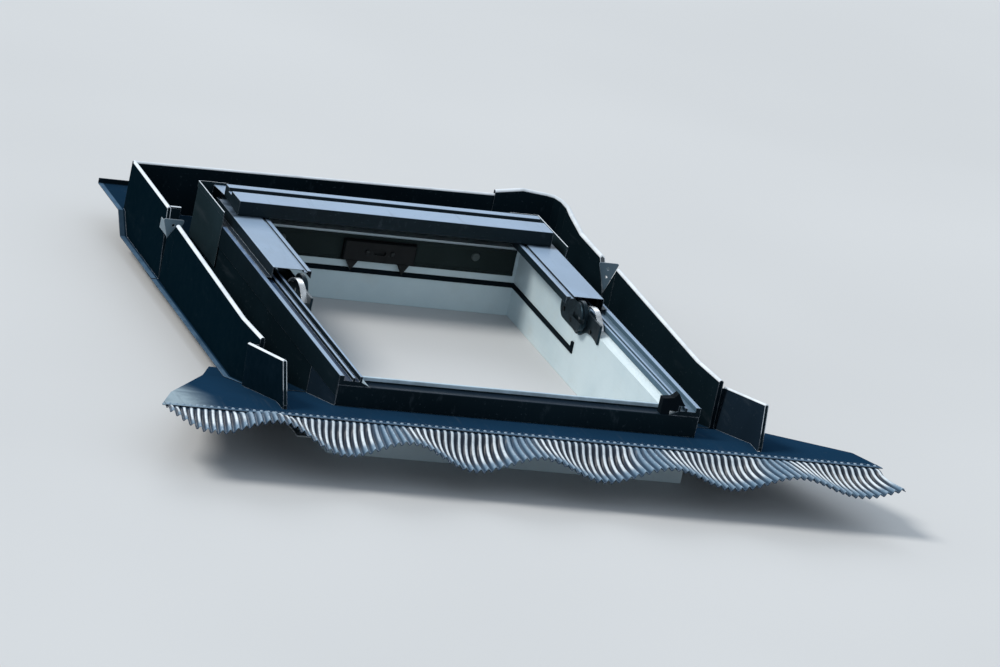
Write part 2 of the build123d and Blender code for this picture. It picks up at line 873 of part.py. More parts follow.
# Upper side cover, standing on the roll of the jamb cladding
cover_x = half_width - cover_outer
cover_foot = clad_top + lap_gap
with BuildPart() as cover_right:
    extrude(
        folded(
            at_y(cover_upper_end),
            [
                (half_width - cover_edge, cover_edge_foot),
                (half_width - cover_edge, cover_edge_level),
                (half_width - cover_inner - cover_groove_width, cover_edge_level),
                (half_width - cover_inner - cover_groove_width, cover_top - cover_groove_depth),
                (half_width - cover_inner, cover_top - cover_groove_depth),
                (half_width - cover_inner, cover_top),
                (cover_x, cover_top),
                (cover_x, cover_foot + sheet),
                (cover_x + cover_foot_width, cover_foot + sheet),
            ],
            Side.RIGHT,
            [fold_radius, fold_radius, 0, 0, fold_radius, fold_radius, 0],
        ),
        amount=cover_upper_end - cover_lower_end,
    )
cover_right.part.label = "cover_right"
export_step(cover_right.part, "parts/cover_right.step")

with BuildPart() as cover_left:
    mirror(cover_right.part, about=Plane.YZ)
cover_left.part.label = "cover_left"
export_step(cover_left.part, "parts/cover_left.step")

# Plastic clips that hold the covers up from the valley of the jamb cladding
clip_x = cover_x - sheet - lap_gap
clip_top = cover_top - sheet - lap_gap
with BuildPart() as cover_clips:
    first_clip = cover_lower_end + clip_end_margin + clip_length / 2
    clip_pitch = (cover_upper_end - clip_end_margin - clip_length / 2 - first_clip) / (clip_count - 1)
    for clip in range(clip_count):
        place = first_clip + clip * clip_pitch
        extrude(
            outline(
                at_y(place + clip_length / 2),
                [
                    (clip_x, valley_level + lap_gap),
                    (clip_x, clip_top),
                    (clip_x - clip_reach, clip_top),
                    (clip_x - clip_reach, clip_top - clip_pad),
                    (clip_x - clip_post, clip_top - clip_pad),
                    (clip_x - clip_post, valley_level + lap_gap),
                ],
            ),
            amount=clip_length,
        )
    mirror(about=Plane.YZ)
cover_clips.part.label = "cover_clips"
export_step(cover_clips.part, "parts/cover_clips.step")

# Hood over the head: a box with closed ends, a rear skirt and two bearers on the timber
hood_foot = cover_top + lap_gap
hood_points = [
    (hood_front + hood_lip, hood_foot),
    (hood_front, hood_foot),
    (hood_front, hood_top),
    (hood_front + hood_band, hood_top),
    (hood_front + hood_band + hood_recess_slope, hood_top - hood_recess),
    (hood_back - hood_rear_band - hood_recess_slope, hood_top - hood_recess),
    (hood_back - hood_rear_band, hood_top),
    (hood_back, hood_top),
    (hood_back, hood_floor_front),
]
hood_bends = 3 * [fold_radius] + [0, 0] + 2 * [fold_radius]
hood_fall = (hood_floor_front - hood_floor_back) / (half_length - hood_back)
bearer_front = hood_back + bearer_margin
bearer_back = timber_y - bearer_margin
bearer_foot = timber_top + lap_gap
bearer_x = hood_half_width - bearer_inset
with BuildPart() as hood:
    extrude(
        folded(
            at_x(-hood_half_width),
            hood_points + [(half_length, hood_floor_back), (half_length, hood_skirt_bottom)],
            Side.RIGHT,
            hood_bends + [0, fold_radius],
        ),
        amount=2 * hood_half_width,
    )
    for end in (-hood_half_width, hood_half_width - sheet):
        with BuildSketch(at_x(end)) as hood_end:
            with BuildLine():
                FilletPolyline(*hood_points, radius=[0] + hood_bends + [0], close=True)
            make_face()
        extrude(amount=sheet)
    for end in (-bearer_x, bearer_x - sheet):
        extrude(
            outline(
                at_x(end),
                [
                    (bearer_front, bearer_foot),
                    (bearer_back, bearer_foot),
                    (bearer_back, hood_floor_front - sheet / 2 - hood_fall * (bearer_back - hood_back)),
                    (bearer_front, hood_floor_front - sheet / 2 - hood_fall * bearer_margin),
                ],
            ),
            amount=sheet,
        )
    for side in (-1, 1):
        flange_x = side * (bearer_x - bearer_flange / 2)
        with Locations((flange_x, (bearer_front + bearer_back) / 2, bearer_foot + sheet / 2)):
            Box(bearer_flange, bearer_back - bearer_front, sheet)
hood.part.label = "hood"
export_step(hood.part, "parts/hood.step")

# Cheek beside the hood: a hemmed corner sheet standing free of the side cover
cheek_x = half_width + lap_gap
cheek_y = half_length + lap_gap
with BuildPart() as hood_cheek_right:
    extrude(
        folded(
            Plane.XY.offset(cheek_bottom),
            [
                (cheek_x, cheek_front),
                (cheek_x, cheek_y),
                (cheek_x - cheek_return, cheek_y),
            ],
            Side.RIGHT,
        ),
        amount=cheek_top - cheek_bottom,
    )
    with Locations((cheek_x + 1.5 * sheet, (cheek_front + cheek_y) / 2, cheek_top - cheek_hem / 2)):
        Box(sheet, cheek_y - cheek_front, cheek_hem)
hood_cheek_right.part.label = "hood_cheek_right"
export_step(hood_cheek_right.part, "parts/hood_cheek_right.step")

with BuildPart() as hood_cheek_left:
    mirror(hood_cheek_right.part, about=Plane.YZ)
hood_cheek_left.part.label = "hood_cheek_left"
export_step(hood_cheek_left.part, "parts/hood_cheek_left.step")


def gutter_section(place, floor, top, hem):
    """Section of a side gutter, with the inner face of its metal on the line."""
    return folded(
        at_y(place),
        [
            (upstand_x + sheet, upstand_top),
            (upstand_x + sheet, floor),
            (gutter_inner, floor),
            (gutter_inner, top),
            (gutter_outer, top),
            (gutter_outer, floor),
            (gutter_outer + hem, floor),
        ],
        Side.RIGHT,
        [fold_radius, fold_radius, roll_radius, roll_radius, fold_radius],
    )


# Side gutter: upstand, channel and a standing edge folded over to a flange
with BuildPart() as gutter_right:
    gutter_rows = [
        gutter_section(wall_upper_end, gutter_floor, wall_top_upper, hem_width),
        gutter_section(bend_y, gutter_floor, wall_top_bend, hem_width),
        gutter_section(gutter_lower_end, gutter_floor_lower, wall_top_lower, hem_width_lower),
    ]
    loft(gutter_rows[:2], ruled=True)
    loft(gutter_rows[1:], ruled=True)
    extrude(
        folded(
            at_y(gutter_upper_end),
            [
                (upstand_x + sheet, upstand_top),
                (upstand_x + sheet, gutter_floor),
                (gutter_outer + hem_width, gutter_floor),
            ],
            Side.RIGHT,
        ),
        amount=gutter_upper_end - wall_upper_end,
    )
gutter_right.part.label = "gutter_right"
export_step(gutter_right.part, "parts/gutter_right.step")

with BuildPart() as gutter_left:
    mirror(gutter_right.part, about=Plane.YZ)
gutter_left.part.label = "gutter_left"
export_step(gutter_left.part, "parts/gutter_left.step")


def back_floor(near, far, level):
    """Floor of the back gutter between two places along the eaves, and its solid underside."""
    rise = level - top_floor
    shift = rise * tan(atan2(back_level - top_floor, back_step - back_floor_end) / 2)
    line = [
        (return_end, level),
        (back_floor_end - shift, level),
        (back_step - shift, back_level + rise),
        (back_end - rise, back_level + rise),
    ]
    with BuildPart() as floor_sheet:
        extrude(
            folded(at_x(near), line + [(back_end - rise, back_level + back_lip)], Side.RIGHT),
            amount=far - near,
        )
    with BuildPart() as below:
        extrude(
            outline(
                at_x(near - back_flange),
                [(0, level)] + line[1:] + [(2 * back_end, back_level + rise), (2 * back_end, -half_width),
                                           (0, -half_width)],
            ),
            amount=far - near + 2 * back_flange,
        )
    return floor_sheet.part, below.part


def end_cut(slant, centre):
    """Solid in front of the slanted end of a wall that runs up the slope."""
    (low_y, low_z), (high_y, high_z) = slant
    run = (high_y - low_y) / (high_z - low_z)
    with BuildPart() as cut:
        extrude(
            outline(
                at_x(centre - wall_width),
                [
                    (0, -half_width),
                    (low_y, -half_width),
                    (low_y, low_z),
                    (high_y + run * clad_top, high_z + clad_top),
                    (0, high_z + clad_top),
                ],
            ),
            amount=2 * wall_width,
        )
    return cut.part


frame_hole_x = 2 * upstand_x
frame_hole_y = upstand_y - sheet
frame_hole_z = 4 * top_floor
gutter_lap = gutter_upper_end + lap_gap
with BuildPart() as frame_hole_builder:
    with Locations((0, frame_hole_y / 2, 0)):
        Box(frame_hole_x, frame_hole_y, frame_hole_z)
    with Locations((0, gutter_lap / 2, 0)):
        Box(frame_hole_x + 2 * (sheet + fold_radius), gutter_lap, frame_hole_z)
frame_hole = frame_hole_builder.part

# Back gutter: floor, standing wall along the top and its return down the left side
return_head = (-return_wall_x, 0, return_top_upper, back_wall_half)
back_wall_start = (back_wall_y, 0, return_top_upper, back_wall_half)
with BuildPart() as top_flashing:
    floor_part, below_part = back_floor(-back_flange, back_right_end, top_floor)
    loft(
        [
            wall_section(at_y(return_end), -return_wall_x, 0, return_top_lower, back_wall_half),
            wall_section(at_y(back_wall_y + back_wall_half), *return_head),
        ],
        ruled=True,
    )
    loft(
        [
            wall_section(at_x(-return_wall_x - back_wall_half), *back_wall_start),
            wall_section(at_x(back_right_end), back_wall_y, 0, back_top_right, back_wall_half),
        ],
        ruled=True,
    )
    add(below_part, mode=Mode.SUBTRACT)
    add(floor_part)
    skin = back_wall_half - sheet
    loft(
        [
            fold_section(at_y(return_end - 1), -return_wall_x, -1, return_top_lower - sheet, skin),
            fold_section(at_y(back_wall_y + skin), -return_wall_x, -1, return_top_upper - sheet, skin),
        ],
        ruled=True,
        mode=Mode.SUBTRACT,
    )
    loft(
        [
            fold_section(at_x(-return_wall_x - skin), back_wall_y, -1, return_top_upper - sheet, skin),
            fold_section(at_x(back_right_end + 1), back_wall_y, -1, back_top_right - sheet, skin),
        ],
        ruled=True,
        mode=Mode.SUBTRACT,
    )
    add(end_cut(return_slant, -return_wall_x), mode=Mode.SUBTRACT)
    add(frame_hole, mode=Mode.SUBTRACT)
    upstand_z = (top_floor + upstand_top) / 2 - sheet / 2
    with Locations((-upstand_x - sheet / 2, (gutter_lap + upstand_y) / 2, upstand_z)):
        Box(sheet, upstand_y - gutter_lap, upstand_top - top_floor + sheet)
    with Locations(((corner_start - lap_gap - upstand_x - sheet) / 2, upstand_y - sheet / 2, upstand_z)):
        Box(corner_start - lap_gap + upstand_x + sheet, sheet, upstand_top - top_floor + sheet)
top_flashing.part.label = "top_flashing"
export_step(top_flashing.part, "parts/top_flashing.step")


def corner_rows(section, skin, below, past):
    """Sections of the right corner's wall along its bend, its half-width less the skin."""
    half = corner_wall_half - skin
    bend_x = return_wall_x - corner_radius
    bend_y_centre = back_wall_y - corner_radius
    rows = [
        section(at_x(corner_start - past), back_wall_y, below, corner_top_start - skin, half),
        section(at_x(corner_crest_x), back_wall_y, below, corner_top_crest - skin, half),
    ]
    for step in range(corner_steps + 1):
        turn = pi / 2 * step / corner_steps
        plane = Plane(
            origin=(bend_x, bend_y_centre, 0),
            x_dir=(sin(turn), cos(turn), 0),
            z_dir=(cos(turn), -sin(turn), 0),
        )
        top = corner_top_side + (corner_top_bend - corner_top_side) * cos(turn) - skin
        rows.append(section(plane, corner_radius, below, top, half))
    rows.append(section(at_y(corner_dip_y), return_wall_x, below, corner_top_dip - skin, half))
    rows.append(section(at_y(return_end - past), return_wall_x, below, corner_top_end - skin, half))
    return rows


# Right corner piece, lapped over the end of the back gutter
corner_floor = top_floor + sheet + lap_gap
with BuildPart() as top_flashing_corner:
    floor_part, below_part = back_floor(corner_start, back_flange, corner_floor)
    loft(corner_rows(wall_section, 0, 0, 0), ruled=True)
    add(below_part, mode=Mode.SUBTRACT)
    add(floor_part)
    loft(corner_rows(fold_section, sheet, -1, 1), ruled=True, mode=Mode.SUBTRACT)
    add(end_cut(corner_slant, return_wall_x), mode=Mode.SUBTRACT)
    add(frame_hole, mode=Mode.SUBTRACT)
    upstand_z = (corner_floor + upstand_top) / 2 - sheet / 2
    with Locations((upstand_x + sheet / 2, (gutter_lap + upstand_y) / 2, upstand_z)):
        Box(sheet, upstand_y - gutter_lap, upstand_top - corner_floor + sheet)
    with Locations(((corner_start + upstand_x + sheet) / 2, upstand_y - sheet / 2, upstand_z)):
        Box(upstand_x + sheet - corner_start, sheet, upstand_top - corner_floor + sheet)
top_flashing_corner.part.label = "top_flashing_corner"
export_step(top_flashing_corner.part, "parts/top_flashing_corner.step")


def clip_solid(wall_half):
    """Pointed plate across the end of a side wall, with a strap along the wall's outer face."""
    strap_x = return_wall_x + wall_half + lap_gap
    with BuildPart() as clip:
        with BuildSketch(at_y(tab_place)) as tab_face:
            with BuildLine():
                Polyline(
                    (tab_x - tab_width / 2, tab_top),
                    (tab_x + tab_width / 2, tab_top),
                    (tab_x, tab_top - tab_height),
                    close=True,
                )
            make_face()
            fillet(tab_face.vertices(), tab_hole_radius)
            with Locations((tab_x, tab_top - tab_height / 3)):
                with GridLocations(1, tab_hole_pitch, 1, 2):
                    Circle(tab_hole_radius, mode=Mode.SUBTRACT)
        extrude(amount=tab_thickness)
        with Locations((
            strap_x + tab_thickness / 2,
            tab_place - tab_thickness / 2 + tab_strap_length / 2,
            tab_top - tab_strap_drop - tab_strap_height / 2,
        )):
            Box(tab_thickness, tab_strap_length + tab_thickness, tab_strap_height)
    return clip.part


# Clips on the ends of the two side walls
with BuildPart() as flashing_clip_right:
    add(clip_solid(corner_wall_half))
flashing_clip_right.part.label = "flashing_clip_right"
export_step(flashing_clip_right.part, "parts/flashing_clip_right.step")

with BuildPart() as flashing_clip_left:
    mirror(clip_solid(back_wall_half), about=Plane.YZ)
flashing_clip_left.part.label = "flashing_clip_left"
export_step(flashing_clip_left.part, "parts/flashing_clip_left.step")

# Apron under the sill: floor, seam strip, upstands round the frame and two scooped end walls
apron_line = [
    (apron_back, apron_floor),
    (bend_y, apron_floor),
    (apron_bend, apron_level),
    (apron_front, apron_level),
]


def apron_walls(section, foot, skin):
    """Solid of both end walls, their half-width less the skin."""
    with BuildPart() as walls:
        loft(
            [
                section(at_y(y), centre, foot, top - skin, end_wall_half - skin, lean)
                for y, centre, lean, top in end_wall_rows
            ],
            ruled=True,
        )
        mirror(about=Plane.YZ)
    return walls.part


with BuildPart() as apron:
    add(apron_walls(wall_section, 0, 0))
    front_y = end_wall_rows[-1][0]
    front_top = end_wall_rows[-1][3]
    extrude(
        outline(
            at_x(-apron_half_width),
            [
                (front_y, end_wall_slant_height),
                (front_y + end_wall_slant, front_top),
                (front_y, front_top),
            ],
        ),
        amount=2 * apron_half_width,
        mode=Mode.SUBTRACT,
    )
    extrude(
        outline(
            at_x(-apron_half_width),
            apron_line + [(apron_front, -half_width), (apron_back, -half_width)],
        ),
        amount=2 * apron_half_width,
        mode=Mode.SUBTRACT,
    )
    extrude(
        folded(
            at_x(-apron_half_width),
            apron_line,
            Side.LEFT,
            [fold_radius, apron_bend_radius],
        ),
        amount=2 * apron_half_width,
    )
    with Locations((0, apron_front + seam_strip_width / 2, apron_level + sheet / 2)):
        Box(2 * skirt_half_width, seam_strip_width, sheet)
    add(apron_walls(fold_section, -1, sheet), mode=Mode.SUBTRACT)
    extrude(
        outline(
            Plane.XY.offset(-half_width),
            [
                (-apron_half_width, apron_front),
                (apron_half_width, apron_front),
                (apron_half_width, apron_corner),
                (apron_back_width, apron_back),
                (-apron_back_width, apron_back),
                (-apron_half_width, apron_corner),
            ],
        ),
        amount=frame_width,
        mode=Mode.INTERSECT,
    )
    with Locations((0, -frame_hole_y / 2, 0)):
        Box(frame_hole_x, frame_hole_y, frame_width, mode=Mode.SUBTRACT)
    front_foot = apron_floor + apron_slope * (upstand_y + bend_y) - sheet
    with Locations((0, -upstand_y + sheet / 2, (front_foot + apron_upstand_top) / 2)):
        Box(2 * (upstand_x + sheet), sheet, apron_upstand_top - front_foot)
    for place in (-upstand_x - sheet, upstand_x):
        extrude(
            outline(
                at_x(place),
                [
                    (-upstand_y, front_foot),
                    (-upstand_y, upstand_top),
                    (gutter_lower_end - lap_gap, upstand_top),
                    (gutter_lower_end - lap_gap, gutter_floor_lower - lap_gap - 1.5 * sheet),
                ],
            ),
            amount=sheet,
        )
apron.part.label = "apron"
export_step(apron.part, "parts/apron.step")


def skirt_height(place, share):
    """Height of the skirt's middle over the apron's level at one place along the eaves."""
    beside = max(-lift_limit, min(lift_limit, place)) / lift_place
    lift = end_lift * beside**2 + end_lift_skew * beside**3
    wave = wave_height * (1 - wave_fade * beside) * cos(2 * pi * place / wave_length)
    return share * (lift + wave)


# Pleated skirt: zigzag sections, flat at the seam and dressed to the waves at the lower edge
skirt_seat = apron_level - sheet - lap_gap - skirt_thickness / 2
with BuildPart() as pleated_skirt:
    skirt_sections = []
    for reach, drop, share, depth in skirt_rows:
        half = skirt_half_width * (1 + skirt_flare * max(reach, 0))
        upper = []
        for fold in range(2 * pleats + 1):
            x = half * (fold / pleats - 1)
            zigzag = depth / 2 if fold % 2 else -depth / 2
            level = skirt_seat - skirt_rows[0][3] / 2 - drop + skirt_height(x, share)
            upper.append((x, level + zigzag + skirt_thickness / 2))
        lower = [(x, z - skirt_thickness) for x, z in reversed(upper)]
        skirt_sections.append(outline(at_y(apron_front - reach * skirt_reach), upper + lower))
    loft(skirt_sections, ruled=True)
pleated_skirt.part.label = "pleated_skirt"
export_step(pleated_skirt.part, "parts/pleated_skirt.step")

# Upper right fixing angle: foot on the batten, leg screwed to the jamb
with BuildPart() as bracket_upper_right:
    with Locations((timber_x + bracket_foot / 2, bracket_y, bracket_thickness / 2)):
        Box(bracket_foot, bracket_length, bracket_thickness)
    with Locations((timber_x + bracket_thickness / 2, bracket_y, bracket_leg / 2)):
        Box(bracket_thickness, bracket_length, bracket_leg)
    with BuildSketch(Plane.XY) as foot_holes:
        with Locations((timber_x + bracket_hole_reach, bracket_y)):
            with GridLocations(1, bracket_hole_spacing, 1, 2):
                Circle(bracket_hole_radius)
    extrude(amount=bracket_thickness, mode=Mode.SUBTRACT)
    with BuildSketch(at_x(timber_x + bracket_thickness)) as leg_holes:
        with Locations((bracket_y, leg_screw_height)):
            with GridLocations(bracket_hole_spacing, 1, 2, 1):
                RegularPolygon(leg_screw_head + joint_gap, shank_sides)
    extrude(amount=-bracket_thickness, taper=countersink_angle, mode=Mode.SUBTRACT)
bracket_upper_right.part.label = "bracket_upper_right"
export_step(bracket_upper_right.part, "parts/bracket_upper_right.step")

with BuildPart() as bracket_upper_left:
    mirror(bracket_upper_right.part, about=Plane.YZ)
bracket_upper_left.part.label = "bracket_upper_left"
export_step(bracket_upper_left.part, "parts/bracket_upper_left.step")

with BuildPart() as bracket_lower_right:
    mirror(bracket_upper_right.part, about=Plane.XZ)
bracket_lower_right.part.label = "bracket_lower_right"
export_step(bracket_lower_right.part, "parts/bracket_lower_right.step")

with BuildPart() as bracket_lower_left:
    mirror(bracket_lower_right.part, about=Plane.YZ)
bracket_lower_left.part.label = "bracket_lower_left"
export_step(bracket_lower_left.part, "parts/bracket_lower_left.step")

# Countersunk screws through the legs of the angles into the jambs
with BuildPart() as bracket_screws:
    with BuildSketch(at_x(timber_x + bracket_thickness)) as screw_heads:
        with Locations((bracket_y, leg_screw_height)):
            with GridLocations(bracket_hole_spacing, 1, 2, 1):
                RegularPolygon(leg_screw_head, shank_sides)
    extrude(amount=-bracket_thickness, taper=countersink_angle)
    with BuildSketch(at_x(timber_x + bracket_thickness)) as screw_shanks:
        with Locations((bracket_y, leg_screw_height)):
            with GridLocations(bracket_hole_spacing, 1, 2, 1):
                RegularPolygon(leg_screw_radius, shank_sides)
    extrude(amount=-leg_screw_length)
    mirror(about=Plane.YZ)
    mirror(about=Plane.XZ)
bracket_screws.part.label = "bracket_screws"
export_step(bracket_screws.part, "parts/bracket_screws.step")
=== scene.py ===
import math
import random

import bpy
import bmesh
from mathutils import Matrix, Vector


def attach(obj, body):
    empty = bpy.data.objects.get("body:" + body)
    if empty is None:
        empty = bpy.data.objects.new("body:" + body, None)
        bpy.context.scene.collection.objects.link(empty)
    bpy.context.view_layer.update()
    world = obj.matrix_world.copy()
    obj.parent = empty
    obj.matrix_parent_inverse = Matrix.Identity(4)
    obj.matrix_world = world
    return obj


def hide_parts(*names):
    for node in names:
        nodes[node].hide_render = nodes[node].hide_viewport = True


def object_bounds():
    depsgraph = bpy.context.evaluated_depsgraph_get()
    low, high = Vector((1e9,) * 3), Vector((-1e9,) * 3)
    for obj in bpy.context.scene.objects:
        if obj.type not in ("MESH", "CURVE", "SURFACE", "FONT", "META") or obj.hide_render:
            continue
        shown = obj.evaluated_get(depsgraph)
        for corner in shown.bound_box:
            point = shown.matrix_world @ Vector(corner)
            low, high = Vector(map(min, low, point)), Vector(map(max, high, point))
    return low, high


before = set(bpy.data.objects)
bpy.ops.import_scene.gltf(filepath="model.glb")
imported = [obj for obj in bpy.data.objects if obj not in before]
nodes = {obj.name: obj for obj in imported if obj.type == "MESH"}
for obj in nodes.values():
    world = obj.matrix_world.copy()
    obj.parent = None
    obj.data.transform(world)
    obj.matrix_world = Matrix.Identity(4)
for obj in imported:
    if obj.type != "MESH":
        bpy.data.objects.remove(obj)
cad_low, cad_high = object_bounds()
scene = bpy.context.scene
scene.view_settings.view_transform = "Standard"
random.seed(7)
X, Y, Z = 0, 1, 2

# Camera: where the photograph was taken from, relative to the roof's plane, with a longer lens
EYE = Vector((-3.046, -7.981, 2.699))
RIGHT = Vector((0.9294, -0.3088, 0.2023))
AIM = Vector((0.083, -0.046, 0.068))
cam_data = bpy.data.cameras.new("camera")
cam_data.lens = 218.0
cam_data.sensor_width = 36.0
cam_data.clip_start = 0.5
cam_data.clip_end = 200.0
cam = bpy.data.objects.new("camera", cam_data)
scene.collection.objects.link(cam)
ahead = (AIM - EYE).normalized()
right = (RIGHT - ahead * RIGHT.dot(ahead)).normalized()
up = right.cross(ahead)
turn = Matrix((right, up, -ahead)).transposed()
cam.matrix_world = Matrix.Translation(EYE) @ turn.to_4x4()
scene.camera = cam


# Node helpers

class Mat:
    """A material under construction: short calls for the nodes that it needs."""

    def __init__(self, name):
        self.m = bpy.data.materials.new(name)
        self.m.use_nodes = True
        self.t = self.m.node_tree
        self.t.nodes.clear()
        self.out = self.t.nodes.new("ShaderNodeOutputMaterial")
        self.bsdf = self.t.nodes.new("ShaderNodeBsdfPrincipled")
        self.t.links.new(self.bsdf.outputs[0], self.out.inputs[0])
        self.coord = self.t.nodes.new("ShaderNodeTexCoord")
        self.geo = self.t.nodes.new("ShaderNodeNewGeometry")

    def link(self, a, b):
        self.t.links.new(a, b)

    def set(self, name, value):
        """Link a node's output to a socket of the shader, or set the socket to a plain value."""
        socket = self.bsdf.inputs[name]
        if hasattr(value, "is_linked"):
            self.link(value, socket)
        else:
            socket.default_value = value

    def mapped(self, scale):
        n = self.t.nodes.new("ShaderNodeMapping")
        n.inputs["Scale"].default_value = scale
        self.link(self.coord.outputs["Object"], n.inputs["Vector"])
        return n.outputs[0]

    def noise(self, scale, detail=4.0, rough=0.55, stretch=(1, 1, 1), distort=0.0):
        n = self.t.nodes.new("ShaderNodeTexNoise")
        n.inputs["Scale"].default_value = scale
        n.inputs["Detail"].default_value = detail
        n.inputs["Roughness"].default_value = rough
        n.inputs["Distortion"].default_value = distort
        self.link(self.mapped(stretch), n.inputs["Vector"])
        return n.outputs[0]

    def ramp(self, value, low, high, a=0.0, b=1.0):
        """Smooth step from a, where the value is low, to b, where it is high."""
        n = self.t.nodes.new("ShaderNodeMapRange")
        n.interpolation_type = "SMOOTHSTEP"
        n.inputs["From Min"].default_value = low
        n.inputs["From Max"].default_value = high
        n.inputs["To Min"].default_value = a
        n.inputs["To Max"].default_value = b
        self.link(value, n.inputs["Value"])
        return n.outputs["Result"]

    def past(self, value, level, soft):
        """Mask of what lies past a level, soft by so much on either side of it."""
        return self.ramp(value, level - soft, level + soft)

    def patchy(self, mask, scale, weakest, low=0.3):
        """The mask with weaker patches, down to the weakest share of it."""
        return self.math("MULTIPLY", mask, self.ramp(self.noise(scale, 4.0, 0.6), low, 0.6, weakest, 1.0))

    def math(self, op, a, b=None):
        n = self.t.nodes.new("ShaderNodeMath")
        n.operation = op
        for i, v in enumerate((a, b)):
            if v is None:
                continue
            if hasattr(v, "is_linked"):
                self.link(v, n.inputs[i])
            else:
                n.inputs[i].default_value = v
        return n.outputs[0]

    def mix(self, factor, a, b):
        n = self.t.nodes.new("ShaderNodeMix")
        n.data_type = "RGBA"
        for socket, v in ((n.inputs["Factor"], factor), (n.inputs[6], a), (n.inputs[7], b)):
            if hasattr(v, "is_linked"):
                self.link(v, socket)
            elif isinstance(v, (int, float)):
                socket.default_value = v
            else:
                socket.default_value = (*v, 1.0)
        return n.outputs[2]

    def part(self, vector, axis):
        n = self.t.nodes.new("ShaderNodeSeparateXYZ")
        self.link(vector, n.inputs[0])
        return n.outputs[axis]

    def bump(self, height, strength, distance=0.001, normal=None):
        n = self.t.nodes.new("ShaderNodeBump")
        n.inputs["Strength"].default_value = strength
        n.inputs["Distance"].default_value = distance
        self.link(height, n.inputs["Height"])
        if normal is not None:
            self.link(normal, n.inputs["Normal"])
        return n.outputs[0]

    def bevel(self, radius):
        n = self.t.nodes.new("ShaderNodeBevel")
        n.samples = 4
        n.inputs["Radius"].default_value = radius
        return n.outputs[0]

    def attribute(self, name):
        n = self.t.nodes.new("ShaderNodeAttribute")
        n.attribute_name = name
        return n.outputs["Fac"]

    def edges(self, rounded, low=0.045, high=0.18):
        """Mask of the edges, from how far the rounded normal leaves the face's own."""
        n = self.t.nodes.new("ShaderNodeVectorMath")
        n.operation = "DOT_PRODUCT"
        self.link(rounded, n.inputs[0])
        self.link(self.geo.outputs["Normal"], n.inputs[1])
        return self.ramp(self.math("SUBTRACT", 1.0, n.outputs["Value"]), low, high)


